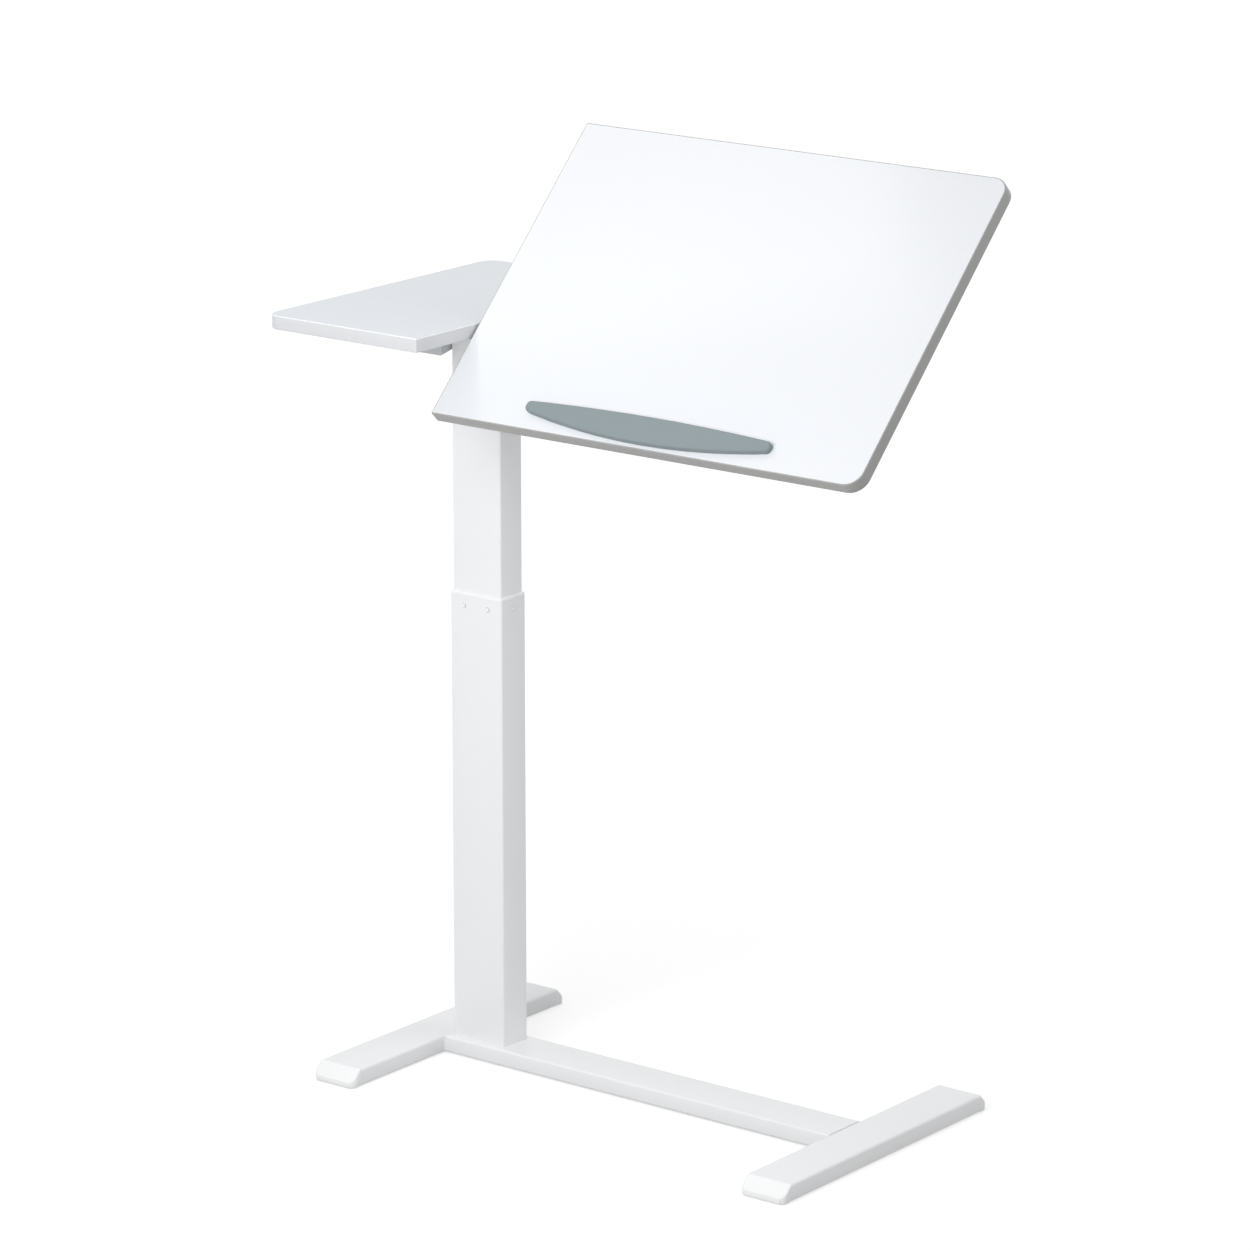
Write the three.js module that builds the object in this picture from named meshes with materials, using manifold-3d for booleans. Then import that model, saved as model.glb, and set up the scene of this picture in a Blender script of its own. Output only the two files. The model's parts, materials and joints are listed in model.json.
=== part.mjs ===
// Laptop desk on one telescopic column, with a fixed side top and a main top that tilts.
// Millimetres. +Z is up, +X runs from the side top to the main top, and the user sits on the -Y side.
// The origin is on the floor, under the middle of the whole top.
import * as THREE from 'three';
import { mergeVertices } from 'three/addons/utils/BufferGeometryUtils.js';
import Module from 'manifold-3d';

// The whole top: two boards that lie in one plane when the main one is flat
const topLength = 800;
const topDepth = 400;
const topThickness = 16;
const topHeight = 897; // upper face above the floor
const topCornerRadius = 20; // at the two outer ends only
const sideTopLength = 221;
const topGap = 2;
const edgeBandThickness = 1;
const restTiltDegrees = 45.6;

// Base: two feet and a crossbar, all of one flat tube
const tubeWidth = 60;
const tubeHeight = 20;
const tubeWall = 1.5;
const tubeCornerRadius = 3;
const footLength = 394;
const footPadHeight = 1.2;
const footPadInset = 7;
const crossbarLength = 554;
const capLength = 16; // what stands out of the tube's end
const capSlope = 14; // length and drop of the sloping nose
const capPlugDepth = 22;
const capEdgeRadius = 9;

// Joint between the crossbar and the right foot
const tongueWidth = 48;
const tongueInBar = 60;
const tongueInFoot = 44;
const tongueScrewSpacing = 26;
const tongueScrewInset = 24; // from the joint face to the screws, on both sides
const flatScrewRadius = 3;
const flatScrewHeadRadius = 5.2;
const flatScrewHeadHeight = 1.9;
const flatScrewLength = 12;

// Telescopic column
const columnSetIn = 157; // from the side top's outer end to the column's axis
const columnInset = 45; // from the left foot's inner side to the column's axis
const outerWidth = 75;
const outerDepth = 45;
const outerWall = 1.2;
const outerCornerRadius = 3;
const outerTop = 556; // upper face of the guide's rim
const innerWidth = 70;
const innerDepth = 40;
const innerWall = 1.5;
const innerCornerRadius = 2.5;
const innerLength = 640;
const slideGap = 0.15; // between a glide and the tube it slides on
const glideLength = 40;
const rimHeight = 3;
const studRadius = 2.5;
const studProud = 0.4;
const studDrop = 11; // from the rim's upper face to the stud's axis
const studSpacing = 35;
const basePlugHeight = 14;
const columnBoltSpacing = 44;
const columnBoltRadius = 4;
const columnBoltHeadRadius = 6.5;
const columnBoltHeadHeight = 8;
const columnBoltGrip = 12;
const boltAccessRadius = 8;

// Gas spring inside the column
const cylinderRadius = 14;
const cylinderWall = 2;
const cylinderLength = 490;
const cylinderStudRadius = 5;
const cylinderStudLength = 11;
const cylinderNeckHeight = 12;
const rodRadius = 5;
const rodLength = 560;
const pistonHeight = 16;
const pistonGrooveDepth = 1.6;
const pistonGrooveHeight = 4;
const valvePinRadius = 2;
const valvePinProud = 6;
const valvePinHidden = 8;
const valvePinTravel = 3;
const rodBracketThickness = 5;
const rodNutHeight = 6;
const rodNutRadius = 9;
const rodNutSides = 6;
const rodEndAboveNut = 3;

// Release lever and its cross shaft
const shaftRadius = 4;
const shaftY = -12;
const shaftDrop = 15.7; // from the underside of the head plate to the shaft's axis
const shaftEndProud = 3;
const fingerHubRadius = 6;
const fingerThickness = 8;
const fingerReach = 16;
const fingerWidth = 10;
const leverWidth = 60;
const leverSideGap = 2.5;
const leverReach = 23; // from the shaft's axis to the lever's front face
const leverDrop = 25.5; // from the shaft's axis to the front lower edge
const leverBack = 10;
const leverHubRadius = 8;
const leverHubStartDegrees = 20;
const leverHubEndDegrees = 110;
const leverFrontHeight = 20;
const leverSlopeDegrees = 12;
const leverBevel = 1.2;
const leverShaftDepth = 48;

// Hinges: two butt hinges, whose leaves lie one on the other when the main top is flat
const pivotY = -86;
const leafThickness = 1.4;
const leafGap = 0.5;
const leafDepth = 24;
const hingeWidth = 70;
const knuckleCount = 5;
const knuckleGap = 0.3;
const hingePinRadius = 1.5;
const hingePinHeadRadius = 2.6;
const hingePinHeadHeight = 1.2;
const hingeInset = 26; // from the hinge rail's end to the hinge

// Frame under the main top
const headPlateLength = 160;
const headPlateDepth = 180;
const headPlateRadius = 12;
const headPlateOffset = 20; // from the column's axis to the plate's middle, outwards
const railWidth = 25;
const railHeight = 20;
const railWall = 1.5;
const railCornerRadius = 2;
const railSetback = 3.6; // from the hinge axis to the hinge rail's front face
const railInset = 5; // from the main top's end at the gap to the rails' start
const railLength = 362;
const rearRailBack = 95;
const armInset = 12; // from the rail's end to the arm
const spineWidth = 40;
const spineHeight = 30;
const spineWall = 1.5;
const bumperRadius = 7;
const bumperInset = 40;

// Side top screws
const woodScrewRadius = 2;
const woodScrewHeadRadius = 4.5;
const woodScrewHeadHeight = 2.6;
const woodScrewLength = 15;
const woodScrewInset = 16;

// Tilt stay: a slotted quadrant on the main top, clamped by a knob on the frame
const stayRadius = 84; // from the hinge axis to the slot's centre line
const stayBoltDegrees = 26.5; // how far the clamp bolt lies below the hinge axis, seen along X
const steepestTiltDegrees = 60;
const staySlotSpareDegrees = 1; // how far the slot goes on past the bolt at both ends
const stayThickness = 3;
const stayMargin = 13; // metal beyond the slot's centre line
const stayEndDegrees = 9;
const stayFlangeWidth = 20;
const stayFlangeStart = 10;
const stayWindowInner = 30;
const stayWindowOuter = 58;
const clampBoltRadius = 4;
const clampBoltHeadRadius = 6.5;
const clampBoltHeadHeight = 4;
const clampWasherRadius = 10;
const clampWasherThickness = 1.6;
const knobRadius = 20;
const knobLobeShare = 0.12; // depth of the lobes as a share of the knob's radius
const knobLobes = 5;
const knobThickness = 14;
const knobHubRadius = 11;
const knobHubHeight = 6;
const knobBevel = 2;
const knobBoltDepth = 14;

// Book stop near the main top's front edge
const stopLength = 330;
const stopDepth = 33;
const stopInset = 5; // from the main top's front edge to the stop's foremost point
const stopBow = 16.5; // how far the front bows out
const stopBackBow = 5;
const stopThickness = 7.5;
const stopCornerRadius = 5;
const stopEdgeRadius = 2;
const stopScrewSpacing = 240;
const stopScrewRadius = 2;
const stopScrewHeadRadius = 4;
const stopScrewHeadHeight = 2.4;

// Clearances and fineness
const seatGap = 0.3; // between pieces that seat in or on each other
const boreGap = 0.3; // round a shaft, pin or screw in its hole
const overrun = 5; // how far a cut runs past the wall it goes through
const roundSteps = 28;
const smallSteps = 16;
const screwSteps = 10;
const cornerSteps = 2;
const edgeSteps = 3;

const wasm = await Module();
wasm.setup();

const unitX = new THREE.Vector3(1, 0, 0);
const unitY = new THREE.Vector3(0, 1, 0);
const unitZ = new THREE.Vector3(0, 0, 1);
const radians = THREE.MathUtils.degToRad;

// Levels and places that follow from the sizes above
const footTop = footPadHeight + tubeHeight;
const tubeMiddle = footPadHeight + tubeHeight / 2;
const footHalf = footLength / 2 - capLength; // half of the bare tube
const columnX = columnSetIn - topLength / 2;
const crossbarLeft = columnX - columnInset;
const crossbarRight = crossbarLeft + crossbarLength;
const leftFootX = crossbarLeft - tubeWidth / 2;
const rightFootX = crossbarRight + tubeWidth / 2;
const underside = topHeight - topThickness;
const hingeStack = 2 * leafThickness + leafGap;
const frameTop = underside - hingeStack;
const pivotZ = underside - hingeStack / 2;
const innerBottom = frameTop - innerLength;
const sideTopRight = sideTopLength - topLength / 2;
const mainTopLeft = sideTopRight + topGap;
const mainTopMiddle = (mainTopLeft + topLength / 2) / 2;
const basePlugTop = footTop + basePlugHeight;
const shaftZ = frameTop - shaftDrop;
const valvePinTop = shaftZ - fingerThickness / 2 - seatGap;
const rodTop = valvePinTop - valvePinProud;
const rodBracketTop = rodTop - rodEndAboveNut - rodNutHeight;
const rodBottom = rodBracketTop - rodLength;

// Finishes
function finish(color, roughness, metalness) {
  return new THREE.MeshStandardMaterial({ color, roughness, metalness });
}
const whitePaint = finish(0xf0f2f4, 0.45, 0);
const whiteLacquer = finish(0xf2f5fa, 0.18, 0);
const greyEdge = finish(0xa2a6ab, 0.45, 0);
const whitePlastic = finish(0xeceeef, 0.5, 0);
const greyPlastic = finish(0x98a4a9, 0.5, 0);
const blackPlastic = finish(0x26282a, 0.55, 0);
const blackRubber = finish(0x1d1e20, 0.9, 0);
const zincSteel = finish(0xb4b9bd, 0.35, 1);
const blackSteel = finish(0x2b2d30, 0.4, 0.6);
const brightSteel = finish(0xd3d6d9, 0.15, 1);

// Closed meshes to solids and back. What comes from a solid keeps its vertices as they are.
function solidOf(geometry) {
  const bare = geometry.clone();
  bare.deleteAttribute('normal');
  bare.deleteAttribute('uv');
  const merged = bare.userData.welded ? bare : mergeVertices(bare);
  return new wasm.Manifold(new wasm.Mesh({
    numProp: 3,
    vertProperties: new Float32Array(merged.attributes.position.array),
    triVerts: new Uint32Array(merged.index.array),
  }));
}

function geometryOf(solid) {
  const mesh = solid.getMesh();
  const geometry = new THREE.BufferGeometry();
  geometry.setAttribute('position', new THREE.BufferAttribute(mesh.vertProperties, 3));
  geometry.setIndex(new THREE.BufferAttribute(mesh.triVerts, 1));
  geometry.computeVertexNormals();
  geometry.userData.welded = true;
  return geometry;
}

function join(first, ...others) {
  return geometryOf(others.reduce((whole, other) => whole.add(solidOf(other)), solidOf(first)));
}

function cut(first, ...cutters) {
  return geometryOf(cutters.reduce((whole, cutter) => whole.subtract(solidOf(cutter)), solidOf(first)));
}

// Basic forms, given by where they start and end
function block(x0, x1, y0, y1, z0, z1) {
  const geometry = new THREE.BoxGeometry(x1 - x0, y1 - y0, z1 - z0);
  geometry.translate((x0 + x1) / 2, (y0 + y1) / 2, (z0 + z1) / 2);
  return geometry;
}

function upright(profile, bottom, top, steps = cornerSteps) {
  const options = { depth: top - bottom, bevelEnabled: false, curveSegments: steps };
  const geometry = new THREE.ExtrudeGeometry(profile, options);
  geometry.translate(0, 0, bottom);
  return geometry;
}

// a profile drawn in Y and Z, carried along X
function alongX(profile, start, end, steps = cornerSteps) {
  const geometry = upright(profile, start, end, steps);
  geometry.applyMatrix4(new THREE.Matrix4().makeBasis(unitY, unitZ, unitX));
  return geometry;
}

// a profile drawn in X and Z, carried along Y
function alongY(profile, start, end, steps = cornerSteps) {
  const geometry = upright(profile, -end, -start, steps);
  geometry.applyMatrix4(new THREE.Matrix4().makeBasis(unitX, unitZ, unitY.clone().negate()));
  return geometry;
}

function cylinderZ(radius, bottom, top, x, y, steps = smallSteps) {
  const geometry = new THREE.CylinderGeometry(radius, radius, top - bottom, steps);
  geometry.rotateX(Math.PI / 2);
  geometry.translate(x, y, (bottom + top) / 2);
  return geometry;
}

function cylinderX(radius, start, end, y, z, steps = smallSteps) {
  const geometry = new THREE.CylinderGeometry(radius, radius, end - start, steps);
  geometry.rotateZ(-Math.PI / 2);
  geometry.translate((start + end) / 2, y, z);
  return geometry;
}

function cylinderY(radius, start, end, x, z, steps = smallSteps) {
  const geometry = new THREE.CylinderGeometry(radius, radius, end - start, steps);
  geometry.translate(x, (start + end) / 2, z);
  return geometry;
}

// a body turned about Z from [radius, height] pairs, listed from the bottom up
function turned(pairs, steps = smallSteps) {
  const profile = pairs.map(([radius, height]) => new THREE.Vector2(radius, height));
  const geometry = new THREE.LatheGeometry(profile, steps);
  geometry.rotateX(Math.PI / 2);
  return geometry;
}

// Profiles
function arcPoints(x, y, radius, fromDegrees, toDegrees, steps) {
  const points = [];
  for (let step = 0; step <= steps; step += 1) {
    const angle = radians(fromDegrees + (toDegrees - fromDegrees) * step / steps);
    points.push(new THREE.Vector2(x + radius * Math.cos(angle), y + radius * Math.sin(angle)));
  }
  return points;
}

function roundedRectangle(width, height, radius, x = 0, y = 0) {
  const shape = new THREE.Shape();
  const dx = width / 2 - radius;
  const dy = height / 2 - radius;
  shape.absarc(x + dx, y - dy, radius, -Math.PI / 2, 0);
  shape.absarc(x + dx, y + dy, radius, 0, Math.PI / 2);
  shape.absarc(x - dx, y + dy, radius, Math.PI / 2, Math.PI);
  shape.absarc(x - dx, y - dy, radius, Math.PI, 1.5 * Math.PI);
  shape.closePath();
  return shape;
}

function boxTube(width, height, wall, radius, x = 0, y = 0) {
  const shape = roundedRectangle(width, height, radius, x, y);
  const insideRadius = Math.max(radius - wall, wall / 4);
  shape.holes.push(roundedRectangle(width - 2 * wall, height - 2 * wall, insideRadius, x, y));
  return shape;
}

// a top board's outline: rounded at its outer end, square at the gap between the tops
function boardOutline(gapEnd, outerEnd, inset) {
  const side = Math.sign(outerEnd - gapEnd);
  const near = (gapEnd + side * inset) * side;
  const far = (outerEnd - side * inset) * side;
  const half = topDepth / 2 - inset;
  const radius = topCornerRadius - inset;
  const steps = 2 * edgeSteps;
  const points = [
    new THREE.Vector2(near, half),
    new THREE.Vector2(near, -half),
    ...arcPoints(far - radius, radius - half, radius, -90, 0, steps),
    ...arcPoints(far - radius, half - radius, radius, 0, 90, steps),
  ];
  const mirrored = points.map((point) => new THREE.Vector2(point.x * side, point.y));
  return new THREE.Shape(side < 0 ? mirrored.reverse() : mirrored);
}

// the band glued round a board, with the glue line as a gap
function bandOutline(gapEnd, outerEnd) {
  const shape = boardOutline(gapEnd, outerEnd, 0);
  shape.holes.push(boardOutline(gapEnd, outerEnd, edgeBandThickness));
  return shape;
}

// The desk as a tree of groups: the base, what the column lifts, and what tilts with the main top
const desk = new THREE.Group();
const lift = new THREE.Group();
const mainTop = new THREE.Group();
mainTop.position.set(0, pivotY, pivotZ);
mainTop.rotation.x = radians(restTiltDegrees);
lift.add(mainTop);
desk.add(lift);

function place(group, name, geometry, material, x = 0, y = 0, z = 0) {
  const mesh = new THREE.Mesh(geometry, material);
  mesh.name = name;
  mesh.position.set(x, y, z);
  group.add(mesh);
}

// a piece of the main top is drawn where it lies with the top flat, then hung from the hinge axis
function placeOnMainTop(name, geometry, material) {
  place(mainTop, name, geometry, material, 0, -pivotY, -pivotZ);
}

// Feet, crossbar and their end caps
function footTube(x) {
  const profile = boxTube(tubeWidth, tubeHeight, tubeWall, tubeCornerRadius, x, tubeMiddle);
  return alongY(profile, -footHalf, footHalf);
}

// side view of a cap's nose: a sloping top, a low blunt lip and a pad below
function footCap() {
  const nose = new THREE.Shape();
  const halfHeight = tubeHeight / 2;
  nose.moveTo(0, -halfHeight);
  nose.lineTo(capLength, -halfHeight);
  nose.lineTo(capLength, halfHeight - capSlope);
  nose.lineTo(capLength - capSlope, halfHeight);
  nose.lineTo(0, halfHeight);
  nose.closePath();
  const wedge = alongX(nose, -tubeWidth / 2, tubeWidth / 2);
  const plan = roundedRectangle(tubeWidth, 2 * capLength, capEdgeRadius);
  const section = roundedRectangle(tubeWidth, tubeHeight, tubeCornerRadius);
  const rounded = solidOf(wedge)
    .intersect(solidOf(upright(plan, -tubeHeight, tubeHeight, edgeSteps)))
    .intersect(solidOf(alongY(section, -overrun, capLength + overrun)));
  const plugWidth = tubeWidth - 2 * (tubeWall + seatGap);
  const plugHeight = tubeHeight - 2 * (tubeWall + seatGap);
  const plugRadius = tubeCornerRadius - tubeWall / 2;
  const plug = alongY(roundedRectangle(plugWidth, plugHeight, plugRadius), -capPlugDepth, overrun);
  const hollowWidth = plugWidth - 2 * (tubeWall + tubeWall);
  const hollowHeight = plugHeight - 2 * (tubeWall + tubeWall);
  const hollow = alongY(roundedRectangle(hollowWidth, hollowHeight, tubeWall), -capPlugDepth - overrun, 0);
  const padHalf = tubeWidth / 2 - footPadInset;
  const pad = block(-padHalf, padHalf, tubeWall, capLength - footPadInset, -halfHeight - footPadHeight, 0);
  return cut(join(geometryOf(rounded), trimmedPlug(plug), pad), hollow);
}

// the plug ends inside the nose, so that nothing of it shows past the slope
function trimmedPlug(plug) {
  const keep = block(-tubeWidth, tubeWidth, -capPlugDepth, capLength - capSlope, -tubeHeight, tubeHeight);
  return geometryOf(solidOf(plug).intersect(solidOf(keep)));
}

place(desk, 'left_foot', footTube(leftFootX), whitePaint);

// countersunk screw, head down, its flat face at height 0
const flatScrew = turned([
  [0, 0],
  [flatScrewHeadRadius, 0],
  [flatScrewRadius, flatScrewHeadHeight],
  [flatScrewRadius, flatScrewLength],
  [0, flatScrewLength],
], screwSteps);

function flatScrewHole(x, y) {
  const sink = turned([
    [0, -overrun],
    [flatScrewHeadRadius + boreGap, -overrun],
    [flatScrewHeadRadius + boreGap, 0],
    [flatScrewRadius + boreGap, flatScrewHeadHeight],
    [flatScrewRadius + boreGap, flatScrewLength + boreGap],
    [0, flatScrewLength + boreGap],
  ], screwSteps);
  sink.translate(x, y, footPadHeight);
  return sink;
}

const tongueScrews = [
  { name: 'bar_screw', x: crossbarRight - tongueScrewInset },
  { name: 'foot_screw', x: crossbarRight + tongueScrewInset },
].flatMap(({ name, x }) => [
  { name: `${name}_front`, x, y: -tongueScrewSpacing / 2 },
  { name: `${name}_back`, x, y: tongueScrewSpacing / 2 },
]);
const tongueScrewHoles = tongueScrews.map(({ x, y }) => flatScrewHole(x, y));
for (const { name, x, y } of tongueScrews) {
  place(desk, name, flatScrew, zincSteel, x, y, footPadHeight);
}

// the tongue fills the crossbar's end and passes through a slot into the foot
const tongueHeight = tubeHeight - 2 * (tubeWall + seatGap);
const tongueLow = tubeMiddle - tongueHeight / 2;
const tongueHigh = tubeMiddle + tongueHeight / 2;
const tongue = block(
  crossbarRight - tongueInBar, crossbarRight + tongueInFoot,
  -tongueWidth / 2, tongueWidth / 2, tongueLow, tongueHigh);
const tongueSlotHalf = tongueWidth / 2 + seatGap;
const tongueSlot = block(
  crossbarRight - overrun, crossbarRight + overrun,
  -tongueSlotHalf, tongueSlotHalf, tongueLow - seatGap, tongueHigh + seatGap);
place(desk, 'joint_tongue', cut(tongue, ...tongueScrewHoles), zincSteel);
place(desk, 'right_foot', cut(footTube(rightFootX), tongueSlot, ...tongueScrewHoles), whitePaint);

const columnBoltPlaces = [-columnBoltSpacing / 2, columnBoltSpacing / 2].map((offset) => columnX + offset);
const crossbarProfile = boxTube(tubeWidth, tubeHeight, tubeWall, tubeCornerRadius, 0, tubeMiddle);
const columnBoltCuts = columnBoltPlaces.flatMap((x) => [
  cylinderZ(boltAccessRadius, footPadHeight - overrun, tubeMiddle, x, 0, screwSteps),
  cylinderZ(columnBoltRadius + boreGap, tubeMiddle, basePlugTop + overrun, x, 0, screwSteps),
]);
const crossbar = alongX(crossbarProfile, crossbarLeft, crossbarRight);
place(desk, 'crossbar', cut(crossbar, ...columnBoltCuts, ...tongueScrewHoles), whitePaint);

const capGeometry = footCap();
for (const { side, x } of [{ side: 'left', x: leftFootX }, { side: 'right', x: rightFootX }]) {
  for (const { end, sign } of [{ end: 'front', sign: -1 }, { end: 'back', sign: 1 }]) {
    const cap = capGeometry.clone();
    if (sign < 0) {
      cap.rotateZ(Math.PI);
    }
    place(desk, `${side}_foot_${end}_cap`, cap, whitePlastic, x, sign * footHalf, tubeMiddle);
  }
}

// Column: plug, bolts, outer tube and the guide in its mouth
const outerInsideWidth = outerWidth - 2 * outerWall;
const outerInsideDepth = outerDepth - 2 * outerWall;
const outerInsideRadius = outerCornerRadius - outerWall;
const basePlugPlan = roundedRectangle(
  outerInsideWidth - 2 * seatGap, outerInsideDepth - 2 * seatGap, outerInsideRadius, columnX);
const basePlug = upright(basePlugPlan, footTop, basePlugTop);
const cylinderStudCut = cylinderZ(
  cylinderStudRadius + boreGap, footTop - overrun, basePlugTop + overrun, columnX, 0);
place(desk, 'column_base_plug', cut(basePlug, cylinderStudCut, ...columnBoltCuts), zincSteel);

// socket-head bolt, head down, its bearing face at height 0
const columnBolt = turned([
  [0, -columnBoltHeadHeight],
  [columnBoltHeadRadius, -columnBoltHeadHeight],
  [columnBoltHeadRadius, 0],
  [columnBoltRadius, 0],
  [columnBoltRadius, columnBoltGrip],
  [0, columnBoltGrip],
], screwSteps);
columnBoltPlaces.forEach((x, index) => {
  const name = `column_bolt_${['left', 'right'][index]}`;
  place(desk, name, columnBolt, zincSteel, x, 0, footTop - tubeWall - seatGap);
});

const studLevel = outerTop - studDrop;
const studRows = [-studSpacing / 2, studSpacing / 2].map((offset) => columnX + offset);
const guideOutside = outerTop - rimHeight;

// every stud of the guide, or with a gap added every hole that takes one
function guideStuds(gap, width, depth) {
  const across = studRows.map(
    (x) => cylinderY(studRadius + gap, -depth / 2, depth / 2, x, studLevel, screwSteps));
  const along = cylinderX(
    studRadius + gap, columnX - width / 2, columnX + width / 2, 0, studLevel, screwSteps);
  return [...across, along];
}

const outerTube = upright(
  boxTube(outerWidth, outerDepth, outerWall, outerCornerRadius, columnX), footTop, guideOutside, edgeSteps);
place(desk, 'outer_tube',
  cut(outerTube, ...guideStuds(boreGap, outerWidth + overrun, outerDepth + overrun)), whitePaint);

const guideWidth = outerInsideWidth - 2 * slideGap;
const guideDepth = outerInsideDepth - 2 * slideGap;
const guideBoreWidth = innerWidth + 2 * slideGap;
const guideBoreDepth = innerDepth + 2 * slideGap;
const guideBoreRadius = innerCornerRadius + slideGap;
const guidePlan = roundedRectangle(guideWidth, guideDepth, outerInsideRadius, columnX);
const guideSleeve = upright(guidePlan, guideOutside - glideLength, outerTop);
const guideRim = upright(
  roundedRectangle(outerWidth, outerDepth, outerCornerRadius, columnX), guideOutside, outerTop, edgeSteps);
const guideBorePlan = roundedRectangle(guideBoreWidth, guideBoreDepth, guideBoreRadius, columnX);
const guideBore = upright(guideBorePlan, guideOutside - glideLength - overrun, outerTop + overrun);
const guide = join(
  guideSleeve, guideRim,
  ...guideStuds(0, outerWidth + 2 * studProud, outerDepth + 2 * studProud));
place(desk, 'upper_guide', cut(guide, guideBore), whitePlastic);

// Gas spring: the cylinder stands on the base plug, the rod hangs from the inner tube
const cylinderBottom = basePlugTop + seatGap;
const cylinderTop = cylinderBottom + cylinderLength;
const cylinderInside = cylinderRadius - cylinderWall;
const gasCylinder = turned([
  [0, cylinderBottom - cylinderStudLength],
  [cylinderStudRadius, cylinderBottom - cylinderStudLength],
  [cylinderStudRadius, cylinderBottom],
  [cylinderRadius, cylinderBottom],
  [cylinderRadius, cylinderTop - cylinderNeckHeight],
  [cylinderRadius - cylinderWall / 2, cylinderTop],
  [rodRadius + boreGap, cylinderTop],
  [rodRadius + boreGap, cylinderTop - cylinderNeckHeight],
  [cylinderInside, cylinderTop - cylinderNeckHeight],
  [cylinderInside, cylinderBottom + cylinderWall],
  [0, cylinderBottom + cylinderWall],
], roundSteps);
place(desk, 'gas_cylinder', gasCylinder, blackSteel, columnX, 0, 0);

const pistonRadius = cylinderInside - boreGap;
const valveBoreBottom = valvePinTop - valvePinProud - valvePinHidden - valvePinTravel - seatGap;
const gasRod = turned([
  [0, rodBottom],
  [pistonRadius, rodBottom],
  [pistonRadius, rodBottom + (pistonHeight - pistonGrooveHeight) / 2],
  [pistonRadius - pistonGrooveDepth, rodBottom + (pistonHeight - pistonGrooveHeight) / 2],
  [pistonRadius - pistonGrooveDepth, rodBottom + (pistonHeight + pistonGrooveHeight) / 2],
  [pistonRadius, rodBottom + (pistonHeight + pistonGrooveHeight) / 2],
  [pistonRadius, rodBottom + pistonHeight],
  [rodRadius, rodBottom + pistonHeight],
  [rodRadius, rodTop],
  [valvePinRadius + boreGap, rodTop],
  [valvePinRadius + boreGap, valveBoreBottom],
  [0, valveBoreBottom],
], roundSteps);
place(lift, 'gas_rod', gasRod, brightSteel, columnX, 0, 0);

const valvePinEdge = valvePinRadius / 2;
const valvePin = turned([
  [0, rodTop - valvePinHidden],
  [valvePinRadius, rodTop - valvePinHidden],
  [valvePinRadius, valvePinTop - valvePinEdge],
  [valvePinRadius - valvePinEdge, valvePinTop],
  [0, valvePinTop],
]);
place(lift, 'valve_pin', valvePin, brightSteel, columnX, 0, 0);

const innerInsideWidth = innerWidth - 2 * innerWall;
const innerInsideDepth = innerDepth - 2 * innerWall;
const rodBracketPlan = roundedRectangle(
  innerInsideWidth - 2 * seatGap, innerInsideDepth - 2 * seatGap, innerCornerRadius, columnX);
const rodBracket = cut(
  upright(rodBracketPlan, rodBracketTop - rodBracketThickness, rodBracketTop),
  cylinderZ(rodRadius + boreGap, 0, frameTop, columnX, 0, roundSteps));
place(lift, 'rod_bracket', rodBracket, zincSteel);

const nutCorners = arcPoints(columnX, 0, rodNutRadius, 0, 360 - 360 / rodNutSides, rodNutSides - 1);
const rodNut = cut(
  upright(new THREE.Shape(nutCorners), rodBracketTop, rodBracketTop + rodNutHeight),
  cylinderZ(rodRadius + boreGap, 0, frameTop, columnX, 0, roundSteps));
place(lift, 'rod_nut', rodNut, zincSteel);

// Inner tube, with holes for the release shaft, and the glide round its lower end
const innerTube = upright(
  boxTube(innerWidth, innerDepth, innerWall, innerCornerRadius, columnX), innerBottom, frameTop, edgeSteps);
const shaftHoles = cylinderX(
  shaftRadius + boreGap, columnX - innerWidth, columnX + innerWidth, shaftY, shaftZ);
place(lift, 'inner_tube', cut(innerTube, shaftHoles), whitePaint);

const lowerGlideBody = upright(guidePlan, innerBottom - rimHeight, innerBottom + glideLength);
const lowerGlideSeat = upright(guideBorePlan, innerBottom, innerBottom + glideLength + overrun);
const glideMouthPlan = roundedRectangle(
  innerInsideWidth - 2 * innerWall, innerInsideDepth - 2 * innerWall, innerCornerRadius, columnX);
const lowerGlideMouth = upright(glideMouthPlan, innerBottom - rimHeight - overrun, innerBottom + overrun);
place(lift, 'lower_glide', cut(lowerGlideBody, lowerGlideSeat, lowerGlideMouth), whitePlastic);

// Release: a lever under the side top, on a cross shaft whose finger presses the valve pin
const innerLeft = columnX - innerWidth / 2;
const innerRight = columnX + innerWidth / 2;
const leverRight = innerLeft - leverSideGap;
const shaftLeft = leverRight - leverShaftDepth;
place(lift, 'release_shaft',
  cylinderX(shaftRadius, shaftLeft, innerRight + shaftEndProud, shaftY, shaftZ), zincSteel);

const fingerBar = block(
  columnX - fingerWidth / 2, columnX + fingerWidth / 2,
  shaftY, shaftY + fingerReach, shaftZ - fingerThickness / 2, shaftZ + fingerThickness / 2);
const fingerHub = cylinderX(
  fingerHubRadius, columnX - fingerWidth / 2, columnX + fingerWidth / 2, shaftY, shaftZ);
const fingerBore = cylinderX(
  shaftRadius + boreGap, columnX - fingerWidth, columnX + fingerWidth, shaftY, shaftZ);
place(lift, 'release_finger', cut(join(fingerBar, fingerHub), fingerBore), zincSteel);

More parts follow.
